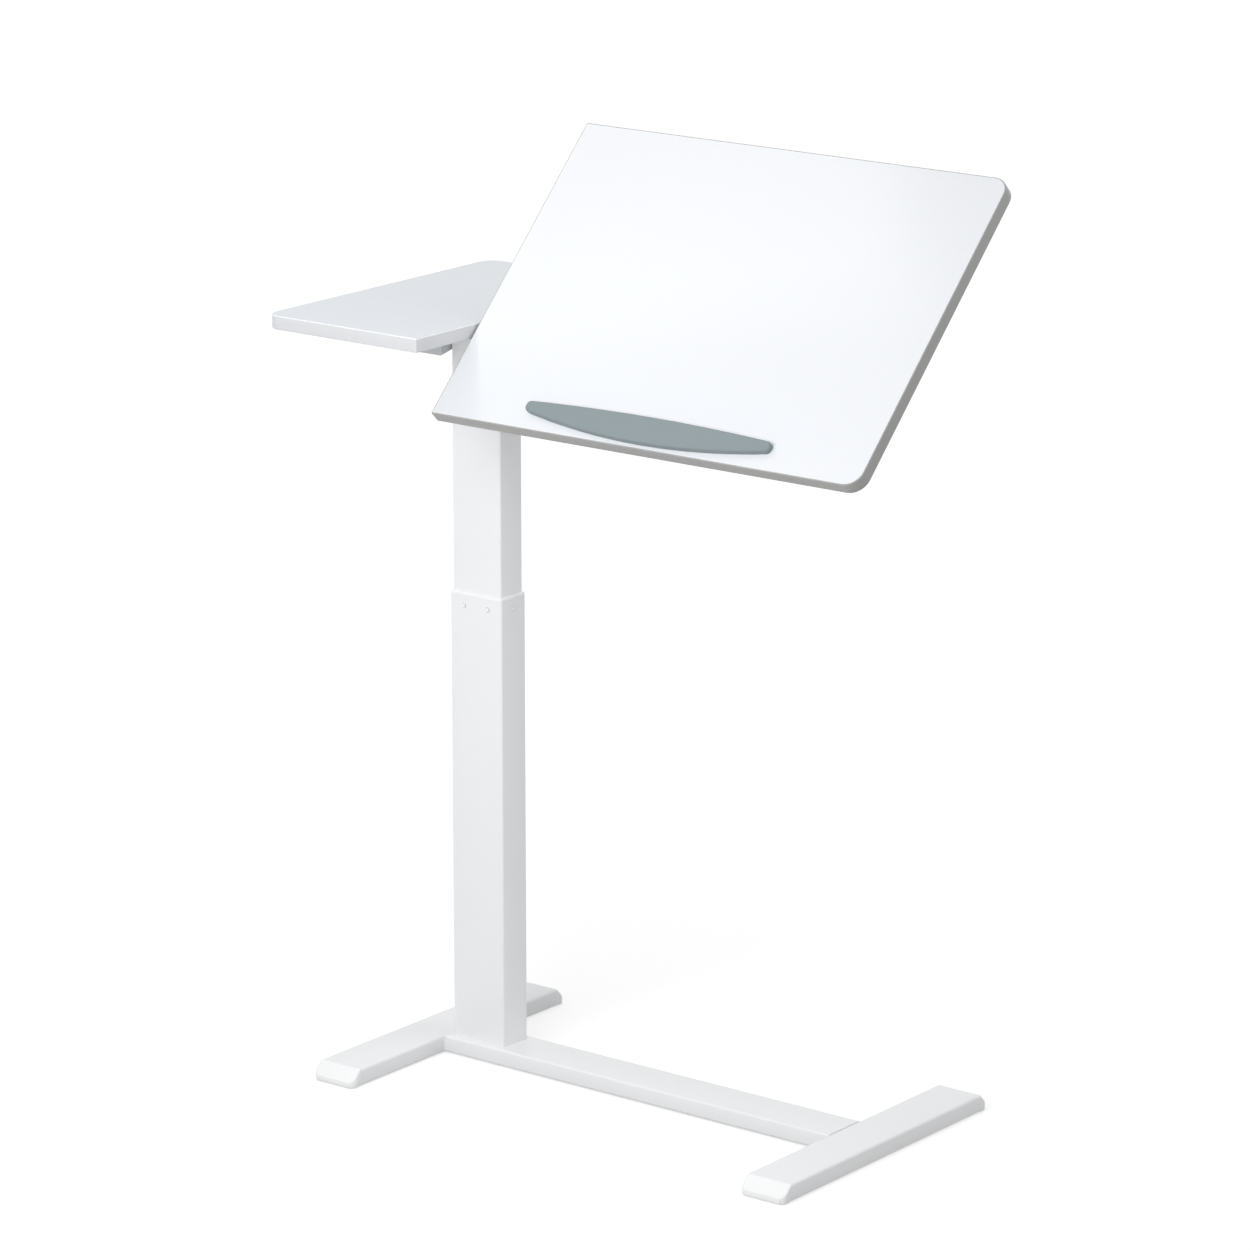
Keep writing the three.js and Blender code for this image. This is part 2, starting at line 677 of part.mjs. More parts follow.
// side view of the lever: its sloping underside, upright front and the hub round the shaft
function releaseLever() {
  const rearRise = (leverReach + leverBack - 2 * leverBevel) * Math.tan(radians(leverSlopeDegrees));
  const front = -leverReach + leverBevel;
  const back = leverBack - leverBevel;
  const low = -leverDrop + leverBevel;
  const hub = leverHubRadius - leverBevel;
  const profile = new THREE.Shape([
    new THREE.Vector2(front, low),
    new THREE.Vector2(back, low + rearRise),
    new THREE.Vector2(back, 0),
    ...arcPoints(0, 0, hub, leverHubStartDegrees, leverHubEndDegrees, edgeSteps + 1),
    new THREE.Vector2(front, low + leverFrontHeight),
  ]);
  const options = {
    depth: leverWidth - 2 * leverBevel,
    bevelEnabled: true,
    bevelSize: leverBevel,
    bevelThickness: leverBevel,
    bevelSegments: edgeSteps - 1,
  };
  const geometry = new THREE.ExtrudeGeometry(profile, options);
  geometry.applyMatrix4(new THREE.Matrix4().makeBasis(unitY, unitZ, unitX));
  geometry.translate(leverRight - leverWidth + leverBevel, shaftY, shaftZ);
  const bore = cylinderX(shaftRadius + boreGap, shaftLeft - seatGap, leverRight + overrun, shaftY, shaftZ);
  return cut(geometry, bore);
}
place(lift, 'release_lever', releaseLever(), whitePlastic);

// Head plate and side top
const headPlateX = Math.min(Math.max(columnX - headPlateOffset, -topLength / 2), sideTopRight);
const screwDx = headPlateLength / 2 - woodScrewInset;
const screwDy = headPlateDepth / 2 - woodScrewInset;
const sideScrews = [
  { name: 'side_screw_front_left', x: headPlateX - screwDx, y: -screwDy },
  { name: 'side_screw_front_right', x: headPlateX + screwDx, y: -screwDy },
  { name: 'side_screw_back_left', x: headPlateX - screwDx, y: screwDy },
  { name: 'side_screw_back_right', x: headPlateX + screwDx, y: screwDy },
];
const sideScrewTop = frameTop - seatGap + woodScrewLength;
const sideScrewHoles = sideScrews.map(({ x, y }) => cylinderZ(
  woodScrewRadius + boreGap, frameTop - overrun, sideScrewTop + boreGap, x, y, screwSteps));

// pan-head screw, head down, its bearing face at height 0
const woodScrew = turned([
  [0, -woodScrewHeadHeight],
  [woodScrewHeadRadius - woodScrewHeadHeight / 2, -woodScrewHeadHeight],
  [woodScrewHeadRadius, -woodScrewHeadHeight / 2],
  [woodScrewHeadRadius, 0],
  [woodScrewRadius, 0],
  [woodScrewRadius, woodScrewLength - woodScrewRadius],
  [0, woodScrewLength],
], screwSteps);
for (const { name, x, y } of sideScrews) {
  place(lift, name, woodScrew, zincSteel, x, y, frameTop - seatGap);
}

const headPlatePlan = roundedRectangle(headPlateLength, headPlateDepth, headPlateRadius, headPlateX);
const headPlate = upright(headPlatePlan, frameTop, underside, edgeSteps);
place(lift, 'head_plate', cut(headPlate, ...sideScrewHoles), whitePaint);

const boardInset = edgeBandThickness + seatGap;
const sideBoard = upright(boardOutline(sideTopRight, -topLength / 2, boardInset), underside, topHeight);
place(lift, 'side_top', cut(sideBoard, ...sideScrewHoles), whiteLacquer);
place(lift, 'side_top_edge',
  upright(bandOutline(sideTopRight, -topLength / 2), underside, topHeight), whiteLacquer);

// Frame: a spine from the column, two arms across it, and a rail at each end of the arms
const railStart = mainTopLeft + railInset;
const frameEnd = railStart + railLength;
const railLow = frameTop - railHeight;
const railMiddle = frameTop - railHeight / 2;
const spineMiddle = railLow - spineHeight / 2;
const hingeRailFront = pivotY + railSetback;
const hingeRailBack = hingeRailFront + railWidth;
const rearRailFront = rearRailBack - railWidth;

function railProfile(start) {
  return boxTube(railWidth, railHeight, railWall, railCornerRadius, start + railWidth / 2, railMiddle);
}

function rail(front) {
  return alongX(railProfile(front), railStart, frameEnd);
}

function arm(left) {
  return alongY(railProfile(left), hingeRailBack, rearRailFront);
}

const spineProfile = boxTube(spineWidth, spineHeight, spineWall, railCornerRadius, 0, spineMiddle);
place(lift, 'spine', alongX(spineProfile, innerRight, frameEnd), whitePaint);
place(lift, 'left_arm', arm(railStart + armInset), whitePaint);
place(lift, 'right_arm', arm(frameEnd - armInset - railWidth), whitePaint);
place(lift, 'hinge_rail', rail(hingeRailFront), whitePaint);
place(lift, 'rear_rail', rail(rearRailFront), whitePaint);

// rubber bumpers that the flat main top comes down on
const bumperHeight = hingeStack - seatGap;
const bumper = turned([
  [0, 0],
  [bumperRadius, 0],
  [bumperRadius, bumperHeight / 2],
  [bumperRadius - bumperHeight / 2, bumperHeight],
  [0, bumperHeight],
]);
const bumperY = (rearRailFront + rearRailBack) / 2;
place(lift, 'left_bumper', bumper, blackRubber, railStart + bumperInset, bumperY, frameTop);
place(lift, 'right_bumper', bumper, blackRubber, frameEnd - bumperInset, bumperY, frameTop);

// Hinges
const knuckleRadius = hingePinRadius + boreGap + leafThickness;
const knuckleLength = hingeWidth / knuckleCount;

// one leaf: its plate lies on the given side of the pin, its knuckles are the even or the odd ones
function hingeLeaf(left, parity, side) {
  const faceNear = side * leafGap / 2;
  const faceFar = side * (leafGap / 2 + leafThickness);
  const low = pivotZ + Math.min(faceNear, faceFar);
  const high = pivotZ + Math.max(faceNear, faceFar);
  const knuckles = [];
  const reliefs = [];
  for (let index = 0; index < knuckleCount; index += 1) {
    const start = left + index * knuckleLength;
    const end = start + knuckleLength;
    if (index % 2 === parity) {
      knuckles.push(cylinderX(knuckleRadius, start + knuckleGap / 2, end - knuckleGap / 2, pivotY, pivotZ));
    } else {
      const startCut = start - knuckleGap / 2 - (index === 0 ? overrun : 0);
      const endCut = end + knuckleGap / 2 + (index === knuckleCount - 1 ? overrun : 0);
      reliefs.push(cylinderX(knuckleRadius + knuckleGap, startCut, endCut, pivotY, pivotZ));
    }
  }
  const plate = block(
    left + knuckleGap / 2, left + hingeWidth - knuckleGap / 2, pivotY, pivotY + leafDepth, low, high);
  const bore = cylinderX(
    hingePinRadius + boreGap, left - overrun, left + hingeWidth + overrun, pivotY, pivotZ);
  return cut(join(cut(plate, ...reliefs), ...knuckles), bore);
}

const hingePin = turned([
  [0, -hingePinHeadHeight],
  [hingePinHeadRadius, -hingePinHeadHeight],
  [hingePinHeadRadius, 0],
  [hingePinRadius, 0],
  [hingePinRadius, hingeWidth],
  [0, hingeWidth],
], screwSteps);
hingePin.rotateY(Math.PI / 2);

const hingePlaces = [
  { side: 'left', x: railStart + hingeInset },
  { side: 'right', x: frameEnd - hingeInset - hingeWidth },
];
for (const { side, x } of hingePlaces) {
  place(lift, `${side}_hinge_fixed_leaf`, hingeLeaf(x, 0, -1), zincSteel);
  place(lift, `${side}_hinge_pin`, hingePin, brightSteel, x, pivotY, pivotZ);
  placeOnMainTop(`${side}_hinge_moving_leaf`, hingeLeaf(x, 1, 1), zincSteel);
}

// Tilt stay: bracket and clamp bolt on the end of the spine, quadrant on the main top, knob and washer
const stayBoltY = pivotY + stayRadius * Math.cos(radians(stayBoltDegrees));
const stayBoltZ = pivotZ - stayRadius * Math.sin(radians(stayBoltDegrees));
const stayBracketEnd = frameEnd + stayThickness;
const quadrantStart = stayBracketEnd + 2 * seatGap;
const quadrantEnd = quadrantStart + stayThickness;
const washerStart = quadrantEnd + seatGap;
const washerEnd = washerStart + clampWasherThickness;
const knobStart = washerEnd + seatGap;
const knobEnd = knobStart + knobHubHeight + knobThickness;

const stayBracketProfile = roundedRectangle(spineWidth, spineHeight, railCornerRadius, 0, spineMiddle);
const clampBore = cylinderX(
  clampBoltRadius + boreGap, frameEnd - overrun, stayBracketEnd + overrun, stayBoltY, stayBoltZ);
const stayBracket = alongX(stayBracketProfile, frameEnd, stayBracketEnd);
place(lift, 'stay_bracket', cut(stayBracket, clampBore), whitePaint);

const clampBoltHeadStart = frameEnd - seatGap - clampBoltHeadHeight;
const clampBolt = turned([
  [0, 0],
  [clampBoltHeadRadius, 0],
  [clampBoltHeadRadius, clampBoltHeadHeight],
  [clampBoltRadius, clampBoltHeadHeight],
  [clampBoltRadius, knobStart + knobBoltDepth - clampBoltHeadStart],
  [0, knobStart + knobBoltDepth - clampBoltHeadStart],
]);
clampBolt.rotateY(Math.PI / 2);
place(lift, 'clamp_bolt', clampBolt, zincSteel, clampBoltHeadStart, stayBoltY, stayBoltZ);

const washer = cut(
  cylinderX(clampWasherRadius, washerStart, washerEnd, stayBoltY, stayBoltZ, roundSteps),
  cylinderX(clampBoltRadius + boreGap, washerStart - overrun, washerEnd + overrun, stayBoltY, stayBoltZ));
place(lift, 'clamp_washer', washer, zincSteel);

// a knob with rounded lobes, its hub towards the washer
function clampKnob() {
  const points = [];
  const steps = knobLobes * smallSteps / 2;
  const depth = knobRadius * knobLobeShare;
  for (let step = 0; step < steps; step += 1) {
    const angle = 2 * Math.PI * step / steps;
    const radius = knobRadius - knobBevel - depth * (1 - Math.cos(knobLobes * angle)) / 2;
    points.push(new THREE.Vector2(radius * Math.cos(angle), radius * Math.sin(angle)));
  }
  const options = {
    depth: knobThickness - 2 * knobBevel,
    bevelEnabled: true,
    bevelSize: knobBevel,
    bevelThickness: knobBevel,
    bevelSegments: edgeSteps - 1,
  };
  const grip = new THREE.ExtrudeGeometry(new THREE.Shape(points), options);
  grip.rotateY(Math.PI / 2);
  grip.translate(knobStart + knobHubHeight + knobBevel, stayBoltY, stayBoltZ);
  const hubEnd = knobEnd - knobThickness / 2;
  const hub = cylinderX(knobHubRadius, knobStart, hubEnd, stayBoltY, stayBoltZ, roundSteps);
  const boreEnd = knobStart + knobBoltDepth + seatGap;
  const bore = cylinderX(clampBoltRadius + boreGap, knobStart - overrun, boreEnd, stayBoltY, stayBoltZ);
  return cut(join(grip, hub), bore);
}
place(lift, 'clamp_knob', clampKnob(), blackPlastic);

// the quadrant is drawn round the hinge axis with the main top flat
function stayQuadrant() {
  const flangeTop = hingeStack / 2 - seatGap;
  const outer = stayRadius + stayMargin;
  const slotHalf = clampBoltRadius + boreGap;
  const slotFrom = staySlotSpareDegrees - stayBoltDegrees;
  const slotTo = -stayBoltDegrees - steepestTiltDegrees - staySlotSpareDegrees;
  const sheetEnd = slotTo - stayEndDegrees;
  const arcSteps = smallSteps;
  const sheet = new THREE.Shape([
    new THREE.Vector2(stayFlangeStart, flangeTop),
    ...arcPoints(0, 0, outer, THREE.MathUtils.radToDeg(Math.asin(flangeTop / outer)), sheetEnd, arcSteps),
    ...arcPoints(0, 0, stayFlangeStart, sheetEnd, sheetEnd / 2, edgeSteps),
  ]);
  const slot = new THREE.Shape([
    ...arcPoints(0, 0, stayRadius + slotHalf, slotFrom, slotTo, arcSteps),
    ...arcPoints(0, 0, stayRadius - slotHalf, slotTo, slotFrom, arcSteps),
  ]);
  const middle = (slotFrom + sheetEnd) / 2;
  const spread = (slotFrom - sheetEnd) / 2 - stayEndDegrees;
  const window = new THREE.Shape([
    ...arcPoints(0, 0, stayWindowOuter, middle + spread, middle - spread, arcSteps / 2),
    ...arcPoints(0, 0, stayWindowInner, middle - spread, middle + spread, arcSteps / 2),
  ]);
  const web = alongX(sheet, quadrantStart, quadrantEnd);
  const openings = [slot, window].map(
    (shape) => alongX(shape, quadrantStart - overrun, quadrantEnd + overrun));
  const slotEnds = [slotFrom, slotTo].map((degrees) => cylinderX(
    slotHalf, quadrantStart - overrun, quadrantEnd + overrun,
    stayRadius * Math.cos(radians(degrees)), stayRadius * Math.sin(radians(degrees))));
  const flangeEnd = Math.sqrt(outer * outer - flangeTop * flangeTop);
  const flange = block(
    quadrantStart, quadrantEnd + stayFlangeWidth,
    stayFlangeStart, flangeEnd, flangeTop - stayThickness, flangeTop);
  const whole = cut(join(web, flange), ...openings, ...slotEnds);
  whole.translate(0, pivotY, pivotZ);
  return whole;
}

const stayScrewX = quadrantEnd + stayFlangeWidth / 2;
const stayScrewPlaces = [
  { name: 'stay_screw_front', y: pivotY + stayFlangeStart + woodScrewInset },
  { name: 'stay_screw_back', y: pivotY + stayRadius + stayMargin - woodScrewInset },
];
const stayFlangeLow = underside - seatGap - stayThickness;
const stayScrewTop = stayFlangeLow - seatGap + woodScrewLength;
const stayScrewHoles = stayScrewPlaces.map(({ y }) => cylinderZ(
  woodScrewRadius + boreGap, stayFlangeLow - overrun, stayScrewTop + boreGap, stayScrewX, y, screwSteps));
placeOnMainTop('stay_quadrant', cut(stayQuadrant(), ...stayScrewHoles), zincSteel);
for (const { name, y } of stayScrewPlaces) {
  const screw = woodScrew.clone();
  screw.translate(stayScrewX, y, stayFlangeLow - seatGap);
  placeOnMainTop(name, screw, zincSteel);
}

// Main top: board with grooves for the hinge knuckles, its edge band and the book stop
const grooveRadius = knuckleRadius + boreGap + seatGap;
const hingeGrooves = hingePlaces.map(({ x }) => cylinderX(
  grooveRadius, x - hingePinHeadHeight - seatGap, x + hingeWidth + seatGap, pivotY, pivotZ));

const stopFrontY = -topDepth / 2 + stopInset;
const stopScrewY = stopFrontY + stopDepth / 2 + stopCornerRadius / 2;
const stopScrewPlaces = [
  { name: 'stop_screw_left', x: mainTopMiddle - stopScrewSpacing / 2 },
  { name: 'stop_screw_right', x: mainTopMiddle + stopScrewSpacing / 2 },
];
const stopScrewLength = topThickness - stopScrewHeadHeight + stopThickness / 2;
const stopScrewHoles = stopScrewPlaces.flatMap(({ x }) => [
  cylinderZ(stopScrewRadius + boreGap, underside - overrun,
    underside + stopScrewHeadHeight + stopScrewLength + boreGap, x, stopScrewY, screwSteps),
  cylinderZ(stopScrewHeadRadius + boreGap, underside - overrun,
    underside + stopScrewHeadHeight, x, stopScrewY, screwSteps),
]);

const mainBoard = upright(boardOutline(mainTopLeft, topLength / 2, boardInset), underside, topHeight);
placeOnMainTop('main_top',
  cut(mainBoard, ...hingeGrooves, ...stayScrewHoles, ...stopScrewHoles), whiteLacquer);
placeOnMainTop('main_top_edge',
  upright(bandOutline(mainTopLeft, topLength / 2), underside, topHeight), greyEdge);

// plan of the book stop: both long sides bow outwards, the front more, and the ends are rounded
function bookStop() {
  const half = stopLength / 2;
  const cornerX = half - stopCornerRadius;
  const corner = stopCornerRadius - stopEdgeRadius;
  const frontRadius = (half * half + stopBow * stopBow) / (2 * stopBow);
  const backRadius = (half * half + stopBackBow * stopBackBow) / (2 * stopBackBow);
  const frontSpan = Math.sqrt((frontRadius - stopCornerRadius) ** 2 - cornerX ** 2);
  const backSpan = Math.sqrt((backRadius - stopCornerRadius) ** 2 - cornerX ** 2);
  const frontSweep = THREE.MathUtils.radToDeg(Math.atan2(cornerX, frontSpan));
  const backSweep = THREE.MathUtils.radToDeg(Math.atan2(cornerX, backSpan));
  const backMiddle = stopDepth - backRadius;
  const rightEnd = [
    ...arcPoints(cornerX, frontRadius - frontSpan, corner, frontSweep - 90, 0, edgeSteps),
    ...arcPoints(cornerX, backMiddle + backSpan, corner, 0, 90 - backSweep, edgeSteps),
  ];
  const leftEnd = rightEnd.map((point) => new THREE.Vector2(-point.x, point.y)).reverse();
  const frontSide = arcPoints(
    0, frontRadius, frontRadius - stopEdgeRadius, -90 - frontSweep, -90 + frontSweep, roundSteps);
  const backSide = arcPoints(
    0, backMiddle, backRadius - stopEdgeRadius, 90 - backSweep, 90 + backSweep, roundSteps);
  const plan = new THREE.Shape([
    ...frontSide.slice(1, -1), ...rightEnd, ...backSide.slice(1, -1), ...leftEnd]);
  const options = {
    depth: stopThickness - stopEdgeRadius,
    bevelEnabled: true,
    bevelSize: stopEdgeRadius,
    bevelThickness: stopEdgeRadius,
    bevelSegments: edgeSteps,
  };
  const domed = new THREE.ExtrudeGeometry(plan, options);
  const trim = block(-stopLength, stopLength, -stopDepth, 2 * stopDepth, 0, 2 * stopThickness);
  return geometryOf(solidOf(domed).intersect(solidOf(trim)));
}
const stop = bookStop();
stop.translate(mainTopMiddle, stopFrontY, topHeight + seatGap);
placeOnMainTop('book_stop', cut(stop, ...stopScrewHoles), greyPlastic);

const stopScrew = turned([
  [0, 0],
  [stopScrewHeadRadius, 0],
  [stopScrewHeadRadius, stopScrewHeadHeight - seatGap],
  [stopScrewRadius, stopScrewHeadHeight - seatGap],
  [stopScrewRadius, stopScrewHeadHeight - seatGap + stopScrewLength],
  [0, stopScrewHeadHeight - seatGap + stopScrewLength],
], screwSteps);
for (const { name, x } of stopScrewPlaces) {
  const screw = stopScrew.clone();
  screw.translate(x, stopScrewY, underside);
  placeOnMainTop(name, screw, zincSteel);
}

export default desk;
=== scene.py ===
import json
import math

import bmesh
import bpy
from mathutils import Matrix, Vector


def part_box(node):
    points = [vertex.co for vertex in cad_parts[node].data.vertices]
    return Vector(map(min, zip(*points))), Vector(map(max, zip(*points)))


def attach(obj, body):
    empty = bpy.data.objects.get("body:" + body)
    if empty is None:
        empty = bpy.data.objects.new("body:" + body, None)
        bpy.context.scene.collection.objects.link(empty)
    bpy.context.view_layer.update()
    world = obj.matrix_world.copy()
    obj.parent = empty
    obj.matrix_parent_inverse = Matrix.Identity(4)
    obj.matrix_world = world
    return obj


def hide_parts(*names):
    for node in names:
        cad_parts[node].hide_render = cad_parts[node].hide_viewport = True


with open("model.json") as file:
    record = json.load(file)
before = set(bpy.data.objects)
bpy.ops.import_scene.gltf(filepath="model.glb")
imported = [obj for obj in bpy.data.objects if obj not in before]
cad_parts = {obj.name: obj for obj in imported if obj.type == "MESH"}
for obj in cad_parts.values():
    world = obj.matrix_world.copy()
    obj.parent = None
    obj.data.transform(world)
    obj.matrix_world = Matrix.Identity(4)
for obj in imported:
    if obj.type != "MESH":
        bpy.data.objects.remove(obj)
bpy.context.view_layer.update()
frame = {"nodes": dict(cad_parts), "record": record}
mm = 0.001
scene = bpy.context.scene
nodes = frame["nodes"]
bodyOf = {node: body for body, members in frame["record"]["behaviour"]["bodies"].items() for node in members}
print("frame loaded")


# sums on a node's output, so that a material or a tree reads as an expression
class Wire:
    def __init__(self, wiring, socket):
        self.wiring = wiring
        self.socket = socket

    def join(self, operation, first, second, clamp=False):
        settings = {"operation": operation, "use_clamp": clamp}
        return self.wiring.node("ShaderNodeMath", settings, {0: first, 1: second})

    def __add__(self, other):
        return self.join("ADD", self, other)

    def __radd__(self, other):
        return self.join("ADD", other, self)

    def __sub__(self, other):
        return self.join("SUBTRACT", self, other)

    def __rsub__(self, other):
        return self.join("SUBTRACT", other, self)

    def __mul__(self, other):
        return self.join("MULTIPLY", self, other)

    def __rmul__(self, other):
        return self.join("MULTIPLY", other, self)

    def __truediv__(self, other):
        return self.join("DIVIDE", self, other)

    def __rtruediv__(self, other):
        return self.join("DIVIDE", other, self)

    def clamped(self):
        return self.join("ADD", self, 0.0, clamp=True)

    def atLeast(self, least):
        return self.join("MAXIMUM", self, least)

    def sibling(self, name):
        # another output of the same node
        return Wire(self.wiring, self.socket.node.outputs[name])


# the nodes of one tree
class Wiring:
    def __init__(self, tree):
        self.tree = tree

    def node(self, kind, settings, inputs, output=0):
        made = self.tree.nodes.new(kind)
        for key, value in settings.items():
            setattr(made, key, value)
        for key, value in inputs.items():
            self.feed(made.inputs[key], value)
        return Wire(self, made.outputs[output])

    def feed(self, socket, value):
        for single in value if isinstance(value, list) else [value]:
            if isinstance(single, Wire):
                self.tree.links.new(single.socket, socket)
            else:
                socket.default_value = single


class Paint(Wiring):
    def __init__(self, name):
        self.material = bpy.data.materials.new(name)
        self.material.use_nodes = True
        super().__init__(self.material.node_tree)
        self.shader = self.tree.nodes["Principled BSDF"]
        self.place = self.node("ShaderNodeTexCoord", {}, {}, "Object")

    def mapped(self, scale, turn=(0, 0, 0)):
        return self.node("ShaderNodeMapping", {}, {"Vector": self.place, "Scale": scale, "Rotation": turn})

    def noise(self, scale, detail=3.0, roughness=0.5, vector=None):
        inputs = {"Vector": vector or self.place, "Scale": scale, "Detail": detail, "Roughness": roughness}
        return self.node("ShaderNodeTexNoise", {}, inputs, "Fac")

    def mix(self, factor, first, second):
        inputs = {0: factor, 6: first, 7: second}
        return self.node("ShaderNodeMix", {"data_type": "RGBA"}, inputs, 2)

    def set(self, **sockets):
        for key, value in sockets.items():
            self.feed(self.shader.inputs[key.replace("_", " ")], value)

    def bump(self, height, strength, distance):
        inputs = {"Height": height, "Strength": strength, "Distance": distance}
        self.set(Normal=self.node("ShaderNodeBump", {}, inputs))


def shade(color, factor):
    return (*(channel * factor for channel in color), 1)


# Finishes
def powderCoat(name, color):
    # satin paint with the fine orange peel of powder coat and a little unevenness in tone
    paint = Paint(name)
    peel = paint.noise(900, 2)
    drift = paint.noise(7, 3, 0.6)
    handled = paint.noise(38, 4, 0.65)
    paint.set(
        Base_Color=paint.mix(drift * 0.7 + handled * 0.3, shade(color, 0.965), shade(color, 1.01)),
        Roughness=0.26 + handled * 0.1 + peel * 0.04,
        Coat_Weight=0.24 + drift * 0.1,
        Coat_Roughness=0.14,
    )
    paint.bump(peel, 0.16, 0.0002)
    return paint.material


def laminate(name, color):
    # hard gloss laminate: nearly flat, with faint wiping marks in the gloss
    paint = Paint(name)
    ripple = paint.noise(60, 2)
    wiped = paint.noise(1, 4, 0.6, paint.mapped((9, 55, 9), (0, 0, 0.5)))
    cloud = paint.noise(4, 3, 0.55)
    paint.set(
        Base_Color=paint.mix(cloud, shade(color, 0.975), shade(color, 1.0)),
        Roughness=0.09 + wiped * 0.07 + cloud * 0.03,
        Specular_IOR_Level=0.55,
    )
    paint.bump(ripple, 0.04, 0.0003)
    return paint.material


def mouldedPlastic(name, color, grain=700, roughness=0.42, depth=0.14, spread=0.05):
    # fine spark-eroded grain over a slightly cloudy colour
    paint = Paint(name)
    fine = paint.noise(grain, 2, 0.6)
    cloud = paint.noise(14, 3)
    worn = paint.noise(90, 4, 0.7)
    tone = cloud * 0.6 + worn * 0.4
    paint.set(
        Base_Color=paint.mix(tone, shade(color, 1 - spread), shade(color, 1 + spread / 3)),
        Roughness=roughness + worn * 0.1 + fine * 0.05,
    )
    paint.bump(fine * 0.8 + worn * 0.2, depth, 0.0003)
    return paint.material


def edgeBand(name, color, arrisHighlight=None):
    # extruded band: very fine lines along it and a soft sheen; with an arris highlight, its upper edge is
    # polished smoother and painted lighter as a painted highlight
    paint = Paint(name)
    lines = paint.noise(1, 3, 0.6, paint.mapped((30, 30, 1600)))
    cloud = paint.noise(22, 3)
    tone = paint.mix(lines * 0.5 + cloud * 0.5, shade(color, 0.94), shade(color, 1.04))
    gloss = 0.3 + lines * 0.12
    if arrisHighlight:
        height = paint.node("ShaderNodeSeparateXYZ", {}, {"Vector": paint.place}, "Z")
        polishAndHighlight = ((height - arrisHighlight["height"]) / arrisHighlight["fade"]).clamped()
        # painted highlight: the band's upper edge is painted a lighter white
        tone = paint.mix(polishAndHighlight, tone, shade(arrisHighlight["color"], 1))
        gloss = gloss - polishAndHighlight * arrisHighlight["gloss"]
    paint.set(Base_Color=tone, Roughness=gloss)
    paint.bump(lines, 0.08, 0.0002)
    return paint.material


def zincPlate(name, color):
    # bright zinc: drawn lines under a faint cloudy passivation
    paint = Paint(name)
    drawn = paint.noise(1, 3, 0.6, paint.mapped((140, 140, 1300)))
    cloud = paint.noise(120, 3, 0.6)
    cell = paint.node("ShaderNodeTexVoronoi", {}, {"Vector": paint.place, "Scale": 420}, "Color")
    tone = paint.node("ShaderNodeSeparateColor", {}, {"Color": cell}, "Red")
    paint.set(
        Base_Color=paint.mix(cloud * 0.6 + tone * 0.4, shade(color, 0.82), shade(color, 1.08)),
        Metallic=1.0,
        Roughness=0.24 + drawn * 0.16 + cloud * 0.08,
    )
    paint.bump(drawn, 0.1, 0.0001)
    return paint.material


def groundSteel(name, color):
    # ground and polished round bar, with its fine turned rings
    paint = Paint(name)
    rings = paint.noise(1, 2, 0.5, paint.mapped((8, 8, 2600)))
    cloud = paint.noise(60, 2)
    paint.set(
        Base_Color=paint.mix(cloud, shade(color, 0.93), shade(color, 1.03)),
        Metallic=1.0,
        Roughness=0.08 + rings * 0.08,
    )
    paint.bump(rings, 0.04, 0.0001)
    return paint.material


def wornBlack(name, color, grain, wear, lightest, gloss, depth):
    # enamel or rubber with a fine grain, and scuffs or dust that lighten and dull it
    paint = Paint(name)
    fine = paint.noise(*grain)
    worn = paint.noise(wear, 4, 0.7)
    paint.set(
        Base_Color=paint.mix(worn, shade(color, 0.8), shade(color, lightest)),
        Roughness=gloss[0] + worn * gloss[1],
    )
    paint.bump(fine, *depth)
    return paint.material


# the polish and the painted highlight start at a height in metres and fade in; the colour is the painted
# highlight, and the gloss lowers the roughness
whiteArrisHighlight = {"height": 0.8957, "fade": 0.0004, "color": (0.89, 0.9, 0.915), "gloss": 0.2}
finishes = {
    "white_paint": powderCoat("whitePowderCoat", (0.905, 0.912, 0.922)),
    "white_plastic": mouldedPlastic("whiteNylon", (0.95, 0.955, 0.96)),
    # the lever's grey is partly its own plastic and partly painted shade, for the shadow under the side board
    "lever_plastic": mouldedPlastic("leverPlastic", (0.66, 0.68, 0.7), 900, 0.36),
    "white_lacquer": laminate("whiteLaminate", (0.79, 0.808, 0.84)),
    # painted shade: the white band is painted darker than the laminate, for the shade on the board's sides
    "white_edge": edgeBand("whiteEdgeBand", (0.695, 0.705, 0.725), whiteArrisHighlight),
    "grey_edge": edgeBand("greyEdgeBand", (0.39, 0.386, 0.382)),
    "grey_plastic": mouldedPlastic("greySoftPlastic", (0.236, 0.28, 0.296), 800, 0.45, 0.2, 0.04),
    "black_plastic": mouldedPlastic("blackKnobPlastic", (0.02, 0.02, 0.022), 600, 0.42, 0.25, 0.2),
    "black_rubber": wornBlack(
        "bumperRubber", (0.016, 0.016, 0.017), (1100, 2, 0.6), 130, 2.2, (0.68, 0.2), (0.2, 0.0003)),
    "zinc_steel": zincPlate("zincPlatedSteel", (0.62, 0.64, 0.66)),
    "black_steel": wornBlack(
        "blackEnamel", (0.025, 0.026, 0.028), (500, 2), 45, 1.6, (0.25, 0.16), (0.1, 0.0002)),
    "bright_steel": groundSteel("groundSteel", (0.76, 0.77, 0.79)),
}
slotOf = {entry["node"]: entry["material_slot"] for entry in frame["record"]["subparts"]}
for name, node in nodes.items():
    node.data.materials.clear()
    node.data.materials.append(finishes[slotOf[name]])
# painted light: the side board gets a copy of the laminate a little bluer and darker than the main one, for
# the cooler reflection and lower light that the level board catches
nodes["side_top"].data.materials[0] = laminate("sideLaminate", (0.77, 0.812, 0.866))
print("finishes made")


# Meshes
def added(name, data):
    thing = bpy.data.objects.new(name, data)
    scene.collection.objects.link(thing)
    return thing


